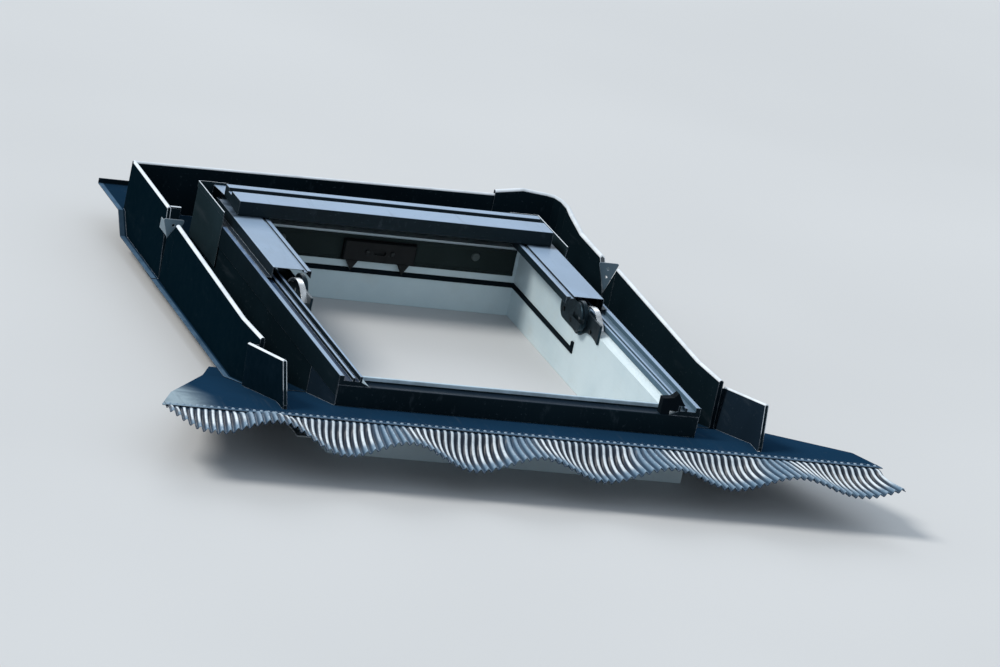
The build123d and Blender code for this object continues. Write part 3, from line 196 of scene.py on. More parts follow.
def sheet_paint(name, side, upper, bare_and_highlight, dust, rough, hem_from=None, hem_tilt=(0.02, 0.22), level=None,
                up_range=(0.55, 0.93), edge_share=0.7, gloss=0.03, tints=(), crest=None, inner=None,
                left_shade=None):
    """Painted sheet metal: a painted reflection of the sky on upward faces and painted highlights
    along folds and edges, with dust and run marks.

    side and upper are the colours of standing and of upward faces, upper being the painted
    reflection of the sky, and bare that of edges, partly wear down to the metal and partly a
    painted highlight. hem_from is the height above which the folded tops of standing edges get a
    painted highlight, and hem_tilt the range of the normal's Z that tells such a fold from a wall.
    level is a height with a colour: upward faces below it are in the channels of a profile and take
    that colour in place of the painted reflection, as painted shade that keeps them darker. Each
    tint is (axis, away, from, to, share, colour): the upward faces turn to that colour from one
    place to the other, along an axis, or away from the middle of the part where away is true, so
    that the painted reflection there turns to other painted light or shade. crest is a height with
    a colour and a place along Y: whatever stands above it, up the slope from there, takes that
    colour as a painted highlight. inner is the colour of side faces that look towards the opening,
    a painted light on them, and sunny that of side faces on the left that look away from it, where
    the key light falls: a darker colour, painted shade that takes back some of that light.
    """
    k = Mat(name)
    broad = k.noise(5.0, 3.0, 0.6)
    fine = k.noise(70.0, 5.0, 0.6)
    runs = k.noise(9.0, 4.0, 0.6, (9.0, 0.7, 4.0))
    rounded = k.bevel(0.0011)
    normal = k.geo.outputs["Normal"]
    position = k.geo.outputs["Position"]
    face_z = k.part(normal, Z)
    height = k.part(position, Z)
    face_up = k.ramp(face_z, *up_range)
    top = upper
    # Painted shade in the channels: upward faces below the level take the channel's darker colour
    if level:
        channel_top, channel_colour = level
        top = k.mix(k.past(height, channel_top, 0.0008), channel_colour, upper)
    # The tints turn the painted reflection on upward faces to other painted light or shade
    for axis, away, start, end, share, tint in tints:
        place = k.part(position, axis)
        if away:
            place = k.math("ABSOLUTE", place)
        if start < end:
            mask = k.ramp(place, start, end, 0.0, share)
        else:
            mask = k.ramp(place, end, start, share, 0.0)
        top = k.mix(k.patchy(mask, 22.0, 0.55), top, tint)
    colour = k.mix(k.ramp(broad, 0.3, 0.7, 0.0, 0.6), side, [c * 1.7 for c in side])
    # Painted reflection of the sky: upward faces take the upper colour, in patches
    colour = k.mix(k.math("MULTIPLY", face_up, k.ramp(broad, 0.25, 0.7, 0.78, 1.0)), colour, top)
    colour = k.mix(k.ramp(runs, 0.58, 0.76, 0.0, 0.22), colour, dust)
    speck = k.ramp(k.noise(240.0, 2.0, 0.5), 0.67, 0.74, 0.0, 0.3)
    colour = k.mix(speck, colour, dust)
    # Edges made bright: partly wear down to the metal, partly a painted highlight
    worn_and_highlit = k.math("MULTIPLY", k.edges(rounded), k.ramp(fine, 0.32, 0.62, 0.45, 1.0))
    colour = k.mix(k.math("MULTIPLY", worn_and_highlit, edge_share), colour, bare_and_highlight)
    # Painted highlight on what stands above the crest height
    if crest:
        crest_level, crest_colour, crest_start = crest
        stands_above = k.past(height, crest_level, 0.0004)
        mask = k.math("MULTIPLY", stands_above, k.past(k.part(position, Y), crest_start, 0.0004))
        colour = k.mix(k.patchy(mask, 30.0, 0.7), colour, crest_colour)
    # Painted light on side faces that look towards the opening
    if inner:
        outward = k.math("MULTIPLY", k.part(normal, X), k.math("SIGN", k.part(position, X)))
        colour = k.mix(k.ramp(k.math("MULTIPLY", outward, -1.0), 0.5, 0.8, 0.0, 0.9), colour, inner)
    # Painted shade on side faces on the left, where the key light falls
    if left_shade:
        faces_left = k.ramp(k.math("MULTIPLY", k.part(normal, X), -1.0), 0.6, 0.9)
        lies_left = k.ramp(k.math("MULTIPLY", k.part(position, X), -1.0), *OUTER_LEFT)
        mask = k.math("MULTIPLY", faces_left, lies_left)
        colour = k.mix(k.math("MULTIPLY", mask, k.ramp(fine, 0.3, 0.7, 0.92, 0.72)), colour, left_shade)
    # Painted highlight on the folded tops of standing edges
    if hem_from:
        hem = k.math("MULTIPLY", k.ramp(face_z, *hem_tilt), k.past(height, hem_from, 0.002))
        colour = k.mix(k.patchy(hem, 38.0, 0.8, 0.25), colour, HEM_HIGHLIGHT)
    k.set("Base Color", colour)
    patches = k.math("ADD", broad, k.math("MULTIPLY", fine, 0.5))
    k.set("Roughness", k.ramp(patches, 0.4, 1.1, rough - 0.07, rough + 0.1))
    k.set("Metallic", 0.0)
    k.set("IOR", 1.5)
    k.set("Specular IOR Level", gloss)
    waves = k.bump(k.noise(14.0, 2.0), 0.10, 0.0012, rounded)
    k.set("Normal", k.bump(k.noise(650.0, 2.0), 0.05, 0.0002, waves))
    return k.m


def metal(name, colour, rough):
    """Bare or zinc-coated steel with fine scratches and dull patches."""
    k = Mat(name)
    patches = k.noise(60.0, 4.0, 0.6)
    lines = k.noise(6.0, 3.0, 0.6, (200.0, 4.0, 200.0))
    rounded = k.bevel(0.0004)
    base = k.mix(k.ramp(patches, 0.3, 0.7), colour, [c * 0.6 for c in colour])
    base = k.mix(k.ramp(lines, 0.55, 0.75, 0.0, 0.3), base, [min(1.0, c * 1.25) for c in colour])
    k.set("Base Color", base)
    k.set("Metallic", 0.85)
    k.set("Roughness", k.ramp(patches, 0.2, 0.8, rough - 0.08, rough + 0.15))
    k.set("Normal", k.bump(lines, 0.12, 0.0003, rounded))
    return k.m


def plastic(name, colour, dust, rough, grain=900.0, gloss=0.22):
    """Moulded black plastic or rubber with a fine grain and a little dust on top."""
    k = Mat(name)
    broad = k.noise(40.0, 4.0, 0.6)
    face_up = k.ramp(k.part(k.geo.outputs["Normal"], Z), 0.3, 1.0)
    rounded = k.bevel(0.0006)
    base = k.mix(k.ramp(broad, 0.3, 0.7, 0.0, 0.6), colour, [c * 1.5 for c in colour])
    base = k.mix(k.math("MULTIPLY", face_up, k.ramp(broad, 0.35, 0.75, 0.05, 0.4)), base, dust)
    k.set("Base Color", base)
    k.set("Specular IOR Level", gloss)
    k.set("Roughness", k.ramp(broad, 0.2, 0.8, rough - 0.08, rough + 0.1))
    k.set("Normal", k.bump(k.noise(grain, 2.0), 0.12, 0.0003, rounded))
    return k.m


def white_timber(name, along):
    """White paint on timber, with the grain raised along one axis, brush marks and soiled corners."""
    k = Mat(name)
    stretch = [26.0, 26.0, 26.0]
    stretch[along] = 1.3
    grain = k.noise(9.0, 6.0, 0.6, tuple(stretch), 0.25)
    brush = [110.0, 110.0, 110.0]
    brush[along] = 3.0
    strokes = k.noise(3.0, 3.0, 0.55, tuple(brush))
    broad = k.noise(7.0, 4.0, 0.6)
    rounded = k.bevel(0.0012)
    soil = k.ramp(k.noise(16.0, 5.0, 0.65), 0.5, 0.8, 0.0, 0.35)
    base = k.mix(k.ramp(broad, 0.3, 0.7), (0.51, 0.63, 0.68), (0.61, 0.72, 0.76))
    base = k.mix(k.ramp(grain, 0.58, 0.8, 0.0, 0.22), base, (0.55, 0.59, 0.57))
    base = k.mix(soil, base, (0.50, 0.53, 0.50))
    base = k.mix(k.math("MULTIPLY", k.edges(rounded, 0.04, 0.25), 0.25), base, (0.58, 0.60, 0.57))
    k.set("Base Color", base)
    k.set("Roughness", k.ramp(strokes, 0.3, 0.7, 0.36, 0.5))
    k.set("IOR", 1.48)
    k.set("Normal", k.bump(strokes, 0.10, 0.0003, k.bump(grain, 0.16, 0.0004, rounded)))
    return k.m


def pleat_paint(name):
    """The skirt's paint: a painted highlight on the pleats' crests, painted shade in the valleys, and a
    calmer painted reflection where flat is high.
    """
    k = Mat(name)
    crest = k.attribute("crest")
    flat = k.attribute("flat")
    broad = k.noise(11.0, 4.0, 0.6)
    fine = k.noise(160.0, 4.0, 0.6)
    base = k.mix(k.ramp(broad, 0.3, 0.7), (0.012, 0.022, 0.040), (0.025, 0.042, 0.072))
    # painted highlight on the pleats' crests
    crest_highlight = k.math("MULTIPLY", k.ramp(crest, 0.58, 0.93), k.ramp(fine, 0.25, 0.6, 0.75, 1.0))
    base = k.mix(crest_highlight, base, (0.76, 0.84, 0.90))
    # painted shade in the valleys
    base = k.mix(k.ramp(crest, 0.0, 0.3, 0.7, 0.0), base, (0.004, 0.007, 0.012))
    # calm painted reflection that takes over where flat is high
    calm = k.mix(k.ramp(crest, 0.30, 0.90), (0.022, 0.055, 0.100), (0.150, 0.245, 0.345))
    base = k.mix(k.math("MULTIPLY", flat, k.ramp(fine, 0.2, 0.6, 0.8, 1.0)), base, calm)
    k.set("Base Color", base)
    k.set("Roughness", k.ramp(fine, 0.3, 0.7, 0.34, 0.48))
    k.set("IOR", 1.5)
    k.set("Specular IOR Level", 0.3)
    dents = k.bump(k.noise(30.0, 2.0), 0.12, 0.001)
    k.set("Normal", k.bump(k.noise(320.0, 3.0), 0.14, 0.0004, dents))
    return k.m


# Colours of the sheet metal: its own, then painted light and shade (reflections of the sky, highlights,
# shade), then wear and dust
DARK = (0.0045, 0.0105, 0.0148)
# painted shade, darker than the paint, on left side faces where the key light falls
LEFT_SIDE_SHADE = (0.0010, 0.0062, 0.0110)
# painted light on side faces that look towards the opening
INNER_SIDE_LIGHT = (0.090, 0.155, 0.210)
# painted reflections of the sky on upward faces, full and dimmed
SKY_REFLECTION = (0.300, 0.410, 0.560)
LOW_SKY_REFLECTION = (0.110, 0.200, 0.310)
SHADED = (0.012, 0.022, 0.034)
# edges: partly wear down to the metal, partly a painted highlight
WEAR_AND_HIGHLIGHT = (0.55, 0.62, 0.70)
# painted highlight on the folded tops of the hems
HEM_HIGHLIGHT = (0.80, 0.86, 0.92)
DUST = (0.07, 0.09, 0.11)

# Heights and places in the solids that the paint follows
OUTER_LEFT = (0.290, 0.300)
JAMB_CHANNELS = 0.0935
COVER_CHANNELS = 0.100
SILL_CHANNELS = 0.0850
SILL_BACK_LEVEL = 0.0806
SILL_BACK = -0.3540
CHEEK_HEMS = 0.114
FLASHING_HEMS = 0.088
APRON_HEMS = 0.080
HOOD_SIDE = (X, True, 0.2523, 0.2530, 0.95, SHADED)
UNDER_HOOD = (Y, False, 0.236, 0.250, 0.95, SHADED)
# painted reflection on the left jamb's upward faces, turning darker and bluer up the slope
LEFT_JAMB_UPPER = (Y, False, -0.120, 0.100, 0.85, (0.085, 0.155, 0.290))
# paler painted reflection of the sky on the gutters' outer flanges
GUTTER_FLANGES = (X, True, 0.3585, 0.3600, 0.8, LOW_SKY_REFLECTION)
# painted highlight on the apron's left wing
LEFT_WING = (X, False, -0.450, -0.515, 0.9, (0.40, 0.51, 0.58))
# paler painted reflection on the apron's upward faces towards its front edge at the seam
SEAM_STRIP = (Y, False, -0.447, -0.454, 0.5, (0.16, 0.26, 0.38))

cladding = sheet_paint("cladding_paint", DARK, SKY_REFLECTION, WEAR_AND_HIGHLIGHT, DUST, 0.36, gloss=0.10,
                       tints=[HOOD_SIDE])
# channel colours: painted shade in the left jamb's channels, a dimmer painted reflection in the right
# jamb's
jamb_left_paint = sheet_paint("jamb_left_paint", DARK, SKY_REFLECTION, WEAR_AND_HIGHLIGHT, DUST, 0.40, gloss=0.05, inner=INNER_SIDE_LIGHT,
                              level=(JAMB_CHANNELS, (0.020, 0.038, 0.074)),
                              tints=[LEFT_JAMB_UPPER, UNDER_HOOD])
jamb_right_paint = sheet_paint("jamb_right_paint", DARK, SKY_REFLECTION, WEAR_AND_HIGHLIGHT, DUST, 0.40, gloss=0.05, inner=INNER_SIDE_LIGHT,
                               level=(JAMB_CHANNELS, (0.130, 0.205, 0.280)), tints=[UNDER_HOOD])
cover_paint = sheet_paint("cover_paint", DARK, SKY_REFLECTION, WEAR_AND_HIGHLIGHT, DUST, 0.36, gloss=0.10,
                          level=(COVER_CHANNELS, SHADED), tints=[UNDER_HOOD])
# painted shade in the sill cladding's channels and a painted highlight along its back edge
sill_paint = sheet_paint("sill_paint", DARK, SKY_REFLECTION, WEAR_AND_HIGHLIGHT, DUST, 0.42,
                         level=(SILL_CHANNELS, (0.010, 0.020, 0.034)),
                         crest=(SILL_BACK_LEVEL, (0.52, 0.66, 0.76), SILL_BACK))
# the cheeks' side colour is a lighter copy of the cladding's dark paint: painted light on the hood's ends
cheek_paint = sheet_paint("cheek_paint", (0.014, 0.027, 0.034), SKY_REFLECTION, WEAR_AND_HIGHLIGHT, DUST, 0.42, hem_from=CHEEK_HEMS)
# flashing and apron: a bluer painted reflection on upward faces, painted highlights on the hems and painted
# shade on the left side faces
flashing = sheet_paint("flashing_paint", DARK, (0.008, 0.028, 0.058), WEAR_AND_HIGHLIGHT, DUST, 0.50, gloss=0.0,
                       hem_from=FLASHING_HEMS, tints=[GUTTER_FLANGES], left_shade=LEFT_SIDE_SHADE)
apron_paint = sheet_paint("apron_paint", (0.008, 0.016, 0.026), (0.009, 0.036, 0.078), WEAR_AND_HIGHLIGHT, DUST, 0.48,
                          gloss=0.0, hem_from=APRON_HEMS, hem_tilt=(0.16, 0.34),
                          tints=[LEFT_WING, SEAM_STRIP], left_shade=LEFT_SIDE_SHADE)
# end plates: a near-white painted highlight on their upward, folded tops, and painted shade on the left
# side faces
plate_paint = sheet_paint("plate_paint", DARK, (0.72, 0.79, 0.86), WEAR_AND_HIGHLIGHT, DUST, 0.46, left_shade=LEFT_SIDE_SHADE, gloss=0.0)
# clips: a paler painted reflection on upward faces, edges partly wear and partly a painted highlight
clip_steel = sheet_paint("clip_steel", (0.110, 0.165, 0.205), (0.20, 0.26, 0.32), (0.70, 0.76, 0.82), DUST,
                         0.36, gloss=0.2, edge_share=0.9)
bright_steel = metal("bright_steel", (0.78, 0.80, 0.82), 0.24)
dark_steel = metal("dark_steel", (0.030, 0.034, 0.036), 0.45)
hinge_metal = metal("hinge_metal", (0.017, 0.035, 0.048), 0.32)
zinc = metal("zinc", (0.56, 0.61, 0.64), 0.40)
black_plastic = plastic("black_plastic", (0.003, 0.004, 0.005), (0.010, 0.012, 0.014), 0.55)
seal_rubber = plastic("seal_rubber", (0.0030, 0.0060, 0.0090), (0.005, 0.010, 0.015), 0.70, 500.0, 0.04)
cap_plastic = plastic("cap_plastic", (0.055, 0.070, 0.070), (0.10, 0.12, 0.12), 0.45)
trim = sheet_paint("trim_metal", (0.014, 0.021, 0.021), (0.03, 0.04, 0.045), (0.10, 0.12, 0.12),
                   (0.04, 0.05, 0.05), 0.42, edge_share=0.3)
timber_y = white_timber("white_timber_long", Y)
timber_x = white_timber("white_timber_cross", X)
pleat = pleat_paint("pleat_paint")
# crimps: a painted reflection of the sky over much of their domes
crimp_paint = sheet_paint("crimp_paint", (0.06, 0.10, 0.15), (0.30, 0.40, 0.50), WEAR_AND_HIGHLIGHT, DUST, 0.40,
                          up_range=(0.2, 0.7))

LOOK = {
    "frame_head": timber_x, "frame_sill": timber_x,
    "frame_jamb_left": timber_y, "frame_jamb_right": timber_y,
    "frame_gasket": seal_rubber, "sill_corner_block": seal_rubber,
    "head_trim": trim, "lock_striker": black_plastic, "cover_clips": black_plastic,
    "head_screw_caps": cap_plastic,
    "striker_screws": dark_steel, "hinge_screws": dark_steel, "bracket_screws": bright_steel,
    "hinge_pin_left": bright_steel, "hinge_pin_right": bright_steel,
    "hinge_spring_left": bright_steel, "hinge_spring_right": bright_steel,
    "hinge_base_left": hinge_metal, "hinge_base_right": hinge_metal,
    "hinge_shoe_left": hinge_metal, "hinge_shoe_right": hinge_metal,
    "bracket_upper_left": zinc, "bracket_upper_right": zinc,
    "bracket_lower_left": zinc, "bracket_lower_right": zinc,
    "flashing_clip_left": clip_steel, "flashing_clip_right": clip_steel,
    "hood": cladding, "hood_cheek_left": cheek_paint, "hood_cheek_right": cheek_paint,
    "cover_left": cover_paint, "cover_right": cover_paint,
    "jamb_cladding_left": jamb_left_paint, "jamb_cladding_right": jamb_right_paint,
    "sill_cladding": sill_paint,
    "gutter_left": flashing, "gutter_right": flashing,
    "top_flashing": flashing, "top_flashing_corner": flashing,
    "apron": apron_paint, "pleated_skirt": pleat,
}
for name, material in LOOK.items():
    mesh = nodes[name].data
    mesh.materials.clear()
    mesh.materials.append(material)


# Pieces made here

def new_piece(name, bm, material, body="frame_body", smooth=True):
    """Object from a mesh under construction, riding a body and wearing a material slot."""
    mesh = bpy.data.meshes.new(name)
    bm.to_mesh(mesh)
    bm.free()
    mesh.materials.append(material)
    for p in mesh.polygons:
        p.use_smooth = smooth
    ob = bpy.data.objects.new(name, mesh)
    scene.collection.objects.link(ob)
    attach(ob, body)
    return ob


# The pleated skirt, with rounded, slightly uneven pleats and a smooth wave. Its sizes, in metres, are
# those of the CAD skirt or a little less.
SHEET = 0.0008
LAP_GAP = 0.0003
SKIRT_THICKNESS = 0.0009
SEAM_LEVEL = 0.055
PLEATS = 104
HALF = 0.5398
FLARE = 0.03
REACH = 0.0698
DROP = 0.0175
FRONT = -0.456
SEAT = SEAM_LEVEL - SHEET - LAP_GAP - SKIRT_THICKNESS / 2
SAG = 0.00025
WAVE = 0.196
WAVE_HEIGHT = 0.014
WAVE_FADE = 0.2
END_LIFT = 0.015
END_LIFT_SKEW = 0.007
LIFT_HALF = 0.440
LIFT_LIMIT = 0.490
# how far the skirt reaches back into the seam, as a share of the reach
TUCK = -0.09
# share of the reach, then the share of the fall and of the wave that is reached there
FALL = [(TUCK, 0.0), (0.05, 0.03), (0.2, 0.46), (0.4, 0.80), (0.65, 0.96), (1.0, 1.0)]
# share of the reach, then the depth of a pleat
DEPTH = [(TUCK, 0.0005), (0.0, 0.0012), (0.12, 0.0032), (0.4, 0.0048), (1.0, 0.0064)]
# how uneven the folds are: their shift as a share of a pleat, their height as a share of the depth, and
# how far they stop short at the front edge
SLIP = 0.035
LOWEST, TALLEST = 0.84, 1.04
SHORTFALL = 0.0009
UNEVEN_FROM = 0.9
# power of the pleats' cosine, which rounds out crests and valleys when it is below 1
FULLNESS = 0.82
# the calm stripes of painted reflection, in place of the pleats' painted highlights and shade, lie this far
# to the left of the waves' crests
CALM_SHIFT = 0.02
POINTS_PER_PLEAT = 8
ROWS = 34


def step(value, low, high):
    """Smooth step from 0 to 1."""
    u = max(0.0, min(1.0, (value - low) / (high - low)))
    return u * u * (3 - 2 * u)


def skirt_wave(x):
    """Height of the dressed edge at x: the waves of the tiles, with both ends lifted."""
    beside = max(-LIFT_LIMIT, min(LIFT_LIMIT, x)) / LIFT_HALF
    lift = END_LIFT * beside**2 - END_LIFT_SKEW * beside**3
    return lift + WAVE_HEIGHT * (1 - WAVE_FADE * beside) * math.cos(2 * math.pi * x / WAVE)


def between(t, rows):
    """Value at t on a smooth line through the rows of (place, value)."""
    places = [r[0] for r in rows]
    values = [r[1] for r in rows]
    slopes = [(b - a) / (q - p) for p, q, a, b in zip(places, places[1:], values, values[1:])]
    tangents = [slopes[0]]
    for a, b in zip(slopes, slopes[1:]):
        tangents.append(0.0 if a * b <= 0 else 2 * a * b / (a + b))
    tangents.append(slopes[-1])
    for i in range(len(rows) - 1):
        if t <= places[i + 1] or i == len(rows) - 2:
            w = places[i + 1] - places[i]
            u = (t - places[i]) / w
            return (
                (2 * u**3 - 3 * u**2 + 1) * values[i] + (u**3 - 2 * u**2 + u) * w * tangents[i]
                + (3 * u**2 - 2 * u**3) * values[i + 1] + (u**3 - u**2) * w * tangents[i + 1]
            )


def make_skirt():
    """The skirt as a grid of points, with its thickness added on both sides."""
    bm = bmesh.new()
    crest_layer = bm.verts.layers.float.new("crest")
    flat_layer = bm.verts.layers.float.new("flat")
    columns = PLEATS * POINTS_PER_PLEAT
    slips = [random.uniform(-1, 1) for _ in range(PLEATS + 1)]
    heights = [random.uniform(LOWEST, TALLEST) for _ in range(PLEATS + 1)]
    ends = [random.uniform(-SHORTFALL, 0.0) for _ in range(PLEATS + 1)]
    grid = []
    for r in range(ROWS + 1):
        t = TUCK + (1 - TUCK) * r / ROWS
        line = []
        half = HALF * (1 + FLARE * max(t, 0))
        fall = between(t, FALL)
        depth = between(t, DEPTH)
        for c in range(columns + 1):
            u = c / columns * PLEATS
            pleat_no = min(int(u), PLEATS - 1)
            f = u - pleat_no
            slip = slips[pleat_no] * (1 - f) + slips[pleat_no + 1] * f
            tall = heights[pleat_no] * (1 - f) + heights[pleat_no + 1] * f
            phase = 2 * math.pi * (f + slip * SLIP * max(t, 0))
            w = -math.cos(phase)
            w = math.copysign(abs(w) ** FULLNESS, w)
            x = half * (2 * c / columns - 1)
            y = FRONT - t * REACH
            if t > UNEVEN_FROM:
                y -= ends[pleat_no] * (t - UNEVEN_FROM) / (1 - UNEVEN_FROM)
            z = SEAT - SAG - DROP * fall + fall * skirt_wave(x) + depth / 2 * w * tall
            v = bm.verts.new((x, y, z))
            v[crest_layer] = (w + 1) / 2
            # the pleats' painted highlights and shade give way to a calm painted reflection by the waves'
            # crests, at the seam and along the front edge
            stripe = step(math.cos(2 * math.pi * (x + CALM_SHIFT) / WAVE), 0.50, 0.95)
            v[flat_layer] = 1 - (1 - stripe) * (1 - step(t, 0.55, 0.85)) * (0.4 + 0.6 * step(t, 0.0, 0.1))
            line.append(v)
        grid.append(line)
    for a, b in zip(grid, grid[1:]):
        for c in range(columns):
            bm.faces.new((a[c], b[c], b[c + 1], a[c + 1]))
    ob = new_piece("pleated_skirt_dressed", bm, pleat)
    solid = ob.modifiers.new("thickness", "SOLIDIFY")
    solid.thickness = SHEET
    solid.offset = 0.0
    solid.use_even_offset = True
    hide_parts("pleated_skirt")


make_skirt()


# Closed ends of the folded walls, a little narrower than the walls
PLATE_INSET = 0.0006


def add_plate(bm, outline, shift):
    """Closed thin solid between a flat outline and the same outline moved by shift."""
    near = [bm.verts.new(v) for v in outline]
    far = [bm.verts.new(Vector(v) + Vector(shift)) for v in outline]
    bm.faces.new(near)
    bm.faces.new(list(reversed(far)))
    for i in range(len(near)):
        j = (i + 1) % len(near)
        bm.faces.new((near[j], near[i], far[i], far[j]))


def end_plate(bm, centre, half, foot, top, end, inward, lean=0.0, round_top=True):
    """Plate across the open end of a standing wall, between two heights.

    centre and half are the middle and the half thickness of the wall along X, and end gives the place
    of the wall's end along Y for a height. The plate reaches inward from there by a signed thickness.
    lean is how far the wall's top stands to the side, and round_top is true where the top is a fold.
    """
    inner = half - PLATE_INSET
    section = [(-inner, foot), (inner, foot)]
    if round_top:
        angles = [math.pi * i / 8 for i in range(9)]
        section += [(inner * math.cos(a), top - half + inner * math.sin(a)) for a in angles]
    else:
        section += [(inner, top), (-inner, top)]
    outline = [(centre + lean * z / top + u, end(z), z) for u, z in section]
    add_plate(bm, outline, (0, inward, 0))


def wall_end(place, knee=0.0, run=0.0, rise=1.0):
    """Function that gives a wall's end along Y for a height: upright, or slanted from the knee up."""
    return lambda z: place + run * (z - knee) / rise


# Middles and half thicknesses of the standing walls along X
WALL = 0.353
APRON_WALL = 0.3555
APRON_BACK_WALL = 0.362
RETURN_HALF = 0.003
CORNER_HALF = 0.004
GUTTER_HALF = 0.0035
APRON_HALF = 0.003
# How far the apron's walls lean out: at the knee, at the top and at the top of the upper end
APRON_KNEE_LEAN = 0.0051
APRON_LEAN = 0.0101
APRON_BACK_LEAN = 0.005
# Heights of the walls' feet, knees and tops
RETURN_FOOT = 0.0050
CORNER_FOOT = 0.0080
GUTTER_FOOT = 0.0048
GUTTER_LOWER_FOOT = 0.0262
APRON_FOOT = 0.0558
APRON_BACK_FOOT = 0.0225
CORNER_KNEE = 0.052
APRON_KNEE = 0.061
RETURN_TOP = 0.1119
CORNER_TOP = 0.0992
GUTTER_TOP = 0.1040
GUTTER_LOWER_TOP = 0.1000
APRON_TOP = 0.1196
APRON_BACK_TOP = 0.0870
# Where the walls end along Y
CORNER_END = 0.2492
GUTTER_END = 0.2118
GUTTER_LOWER_END = -0.2618
APRON_END = -0.4308
return_end = wall_end(0.2502, 0.004, run=0.022, rise=0.109)
corner_end = wall_end(CORNER_END)
corner_slant = wall_end(CORNER_END, CORNER_KNEE, run=0.040, rise=0.049)
gutter_end = wall_end(GUTTER_END)
gutter_lower_end = wall_end(GUTTER_LOWER_END)
apron_end = wall_end(APRON_END)
apron_slant = wall_end(APRON_END, APRON_KNEE, run=0.025, rise=0.064)
apron_back_end = wall_end(-0.2502)
# Gap between a gutter's lower end and the apron's wall: places along X, and its top
GAP_INNER = 0.3562
GAP_OUTER_FOOT = 0.3588
GAP_OUTER_TOP = 0.3632
GAP_TOP = 0.0880
# Webs between the gutters' walls and the clips: the place along X, then the height beside the clip
WEBS = [(0.3497, 0.0535), (-0.3565, 0.0720)]
WEB_TOP = 0.1005
WEB_LAP = 0.0002
CLIP_PLACE = 0.2456

bm = bmesh.new()
end_plate(bm, -WALL, RETURN_HALF, RETURN_FOOT, RETURN_TOP, return_end, SHEET)
end_plate(bm, WALL, CORNER_HALF, CORNER_FOOT, CORNER_KNEE, corner_end, SHEET, round_top=False)
end_plate(bm, WALL, CORNER_HALF, CORNER_KNEE, CORNER_TOP, corner_slant, SHEET)
for side in (-1, 1):
    wall = side * WALL
    end_plate(bm, wall, GUTTER_HALF, GUTTER_LOWER_FOOT, GUTTER_LOWER_TOP, gutter_lower_end, SHEET)
    end_plate(bm, wall, GUTTER_HALF, GUTTER_FOOT, GUTTER_TOP, gutter_end, -SHEET)
    wall = side * APRON_WALL
    end_plate(bm, wall, APRON_HALF, APRON_FOOT, APRON_KNEE, apron_end, SHEET, side * APRON_KNEE_LEAN, False)
    end_plate(bm, wall, APRON_HALF, APRON_KNEE, APRON_TOP, apron_slant, SHEET, side * APRON_LEAN)
    wall = side * APRON_BACK_WALL
    end_plate(bm, wall, APRON_HALF, APRON_BACK_FOOT, APRON_BACK_TOP, apron_back_end, -SHEET,
              side * APRON_BACK_LEAN)
    gap = [(GAP_INNER, GUTTER_LOWER_FOOT), (GAP_OUTER_FOOT, GUTTER_LOWER_FOOT),
           (GAP_OUTER_TOP, GAP_TOP), (GAP_INNER, GAP_TOP)]
    add_plate(bm, [(side * x, GUTTER_LOWER_END + PLATE_INSET, z) for x, z in gap], (0, SHEET, 0))
web_start = GUTTER_END - WEB_LAP
for x, height in WEBS:
    web = [(web_start, GUTTER_FOOT), (CLIP_PLACE, GUTTER_FOOT), (CLIP_PLACE, height), (web_start, WEB_TOP)]
    add_plate(bm, [(x, y, z) for y, z in web], (SHEET, 0, 0))
bmesh.ops.recalc_face_normals(bm, faces=bm.faces)
new_piece("wall_end_plates", bm, plate_paint, smooth=False)

# Flange that turns inward at the lower end of the left return wall, with a folded top
FLANGE_FOOT = 0.0056
FLANGE_TOP = 0.1105
FLANGE_ROOT = -0.3508
FLANGE_FOOT_TIP = -0.3430
FLANGE_TOP_TIP = -0.3345
LIP_TIP = -0.3340
LIP_LAP = 0.0005
LIP_HEIGHT = 0.0018
LIP_LENGTH = 0.0056
bm = bmesh.new()
slant = [(FLANGE_ROOT, FLANGE_FOOT), (FLANGE_FOOT_TIP, FLANGE_FOOT),
         (FLANGE_TOP_TIP, FLANGE_TOP), (FLANGE_ROOT, FLANGE_TOP)]
add_plate(bm, [(x, return_end(z), z) for x, z in slant], (0, SHEET, 0))
lip_place = return_end(FLANGE_TOP) - LIP_LAP
lip_foot = FLANGE_TOP - LIP_LAP
lip_top = FLANGE_TOP + LIP_HEIGHT
lip = [(FLANGE_ROOT, lip_foot), (FLANGE_TOP_TIP, lip_foot), (LIP_TIP, lip_top), (FLANGE_ROOT, lip_top)]
add_plate(bm, [(x, lip_place, z) for x, z in lip], (0, LIP_LENGTH, 0))
bmesh.ops.recalc_face_normals(bm, faces=bm.faces)
flange = new_piece("return_end_flange", bm, plate_paint, smooth=False)
soft_edge = flange.modifiers.new("soft_edge", "BEVEL")
soft_edge.width = 0.0003
soft_edge.segments = 2


def dome(bm, at, radius, height):
    """A low round dimple standing on a level face."""
    x, y, z = at
    sides = 10
    rings = []
    # each ring's share of the radius and of the height
    for r, h in ((1.0, 0.0), (0.82, 0.62), (0.45, 0.93)):
        rings.append([
            bm.verts.new((x + radius * r * math.cos(2 * math.pi * i / sides),
                          y + radius * r * math.sin(2 * math.pi * i / sides), z + height * h))
            for i in range(sides)
        ])
    top = bm.verts.new((x, y, z + height))
    for a, b in zip(rings, rings[1:]):
        for i in range(sides):
            bm.faces.new((a[i], a[(i + 1) % sides], b[(i + 1) % sides], b[i]))
    for i in range(sides):
        bm.faces.new((rings[-1][i], rings[-1][(i + 1) % sides], top))


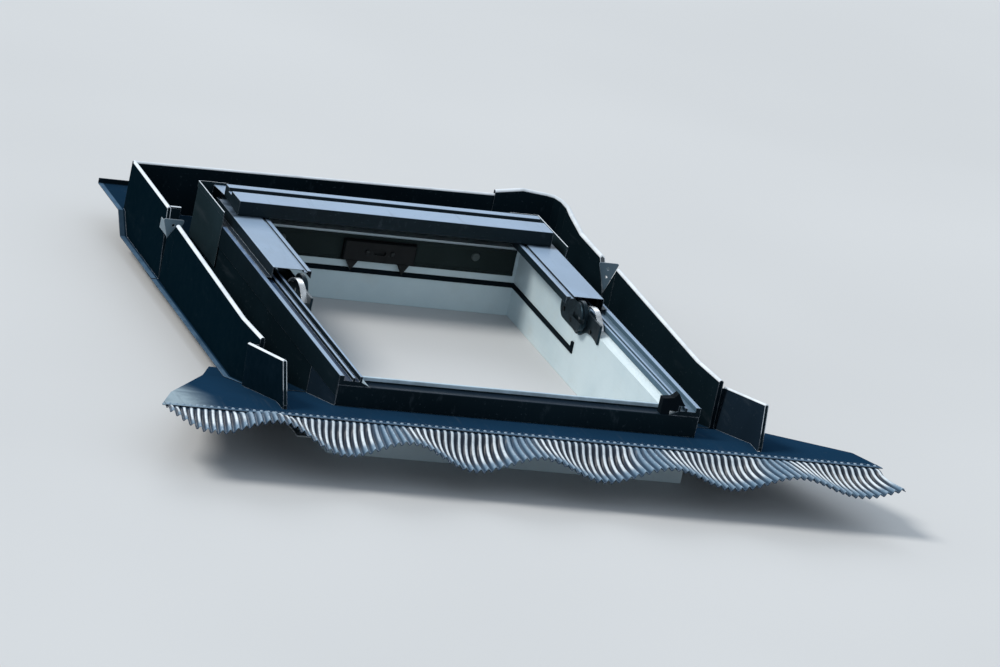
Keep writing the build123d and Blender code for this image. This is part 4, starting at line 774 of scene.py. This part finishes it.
# Crimps that hold the skirt in the apron's seam
CRIMP_RADIUS = 0.0027
CRIMP_HEIGHT = 0.0013
CRIMP_SPREAD = 0.0003
CRIMP_SINK = 0.0001
SEAM_TOP = 0.0558
SEAM_WIDTH = 0.012
SEAM_MIDDLE = FRONT + SEAM_WIDTH / 2
bm = bmesh.new()
for i in range(PLEATS):
    x = HALF * ((2 * i + 1) / PLEATS - 1)
    y = SEAM_MIDDLE + random.uniform(-CRIMP_SPREAD, CRIMP_SPREAD)
    dome(bm, (x, y, SEAM_TOP - CRIMP_SINK), CRIMP_RADIUS, CRIMP_HEIGHT)
new_piece("seam_crimps", bm, crimp_paint)

# Floor and light
FLOOR_LEVEL = cad_low[Z] - 0.0002
FLOOR_HALF = 60.0
corners = ((-1, -1), (1, -1), (1, 1), (-1, 1))
floor_mesh = bpy.data.meshes.new("floor")
floor_points = [(x * FLOOR_HALF, y * FLOOR_HALF, FLOOR_LEVEL) for x, y in corners]
floor_mesh.from_pydata(floor_points, [], [(0, 1, 2, 3)])
floor = bpy.data.objects.new("floor", floor_mesh)
scene.collection.objects.link(floor)
f = Mat("floor_paint")
f.set("Base Color", f.mix(f.ramp(f.noise(0.8, 2.0), 0.3, 0.7), (0.60, 0.61, 0.62), (0.63, 0.64, 0.65)))
f.set("Roughness", 0.85)
f.set("Specular IOR Level", 0.2)
floor_mesh.materials.append(f.m)

world = bpy.data.worlds.new("studio")
scene.world = world
world.use_nodes = True
wt = world.node_tree
wt.nodes.clear()
background = wt.nodes.new("ShaderNodeBackground")
background.inputs["Color"].default_value = (0.80, 0.90, 1.0, 1.0)
background.inputs["Strength"].default_value = 0.62
world_out = wt.nodes.new("ShaderNodeOutputWorld")
wt.links.new(background.outputs[0], world_out.inputs[0])


def sun(name, direction, energy, colour, angle):
    """A distant lamp that shines from a direction, soft by the angle that it fills."""
    data = bpy.data.lights.new(name, "SUN")
    data.energy = energy
    data.color = colour
    data.angle = angle
    ob = bpy.data.objects.new(name, data)
    scene.collection.objects.link(ob)
    ob.rotation_mode = "QUATERNION"
    ob.rotation_quaternion = Vector(direction).normalized().to_track_quat("Z", "Y")


# soft key from the upper left, a weaker one from behind for the folded edges
sun("key", (-0.75, 0.10, 0.80), 2.0, (1.0, 0.96, 0.90), 0.35)
sun("rim", (0.10, 0.85, 0.55), 0.7, (0.92, 0.96, 1.0), 0.6)
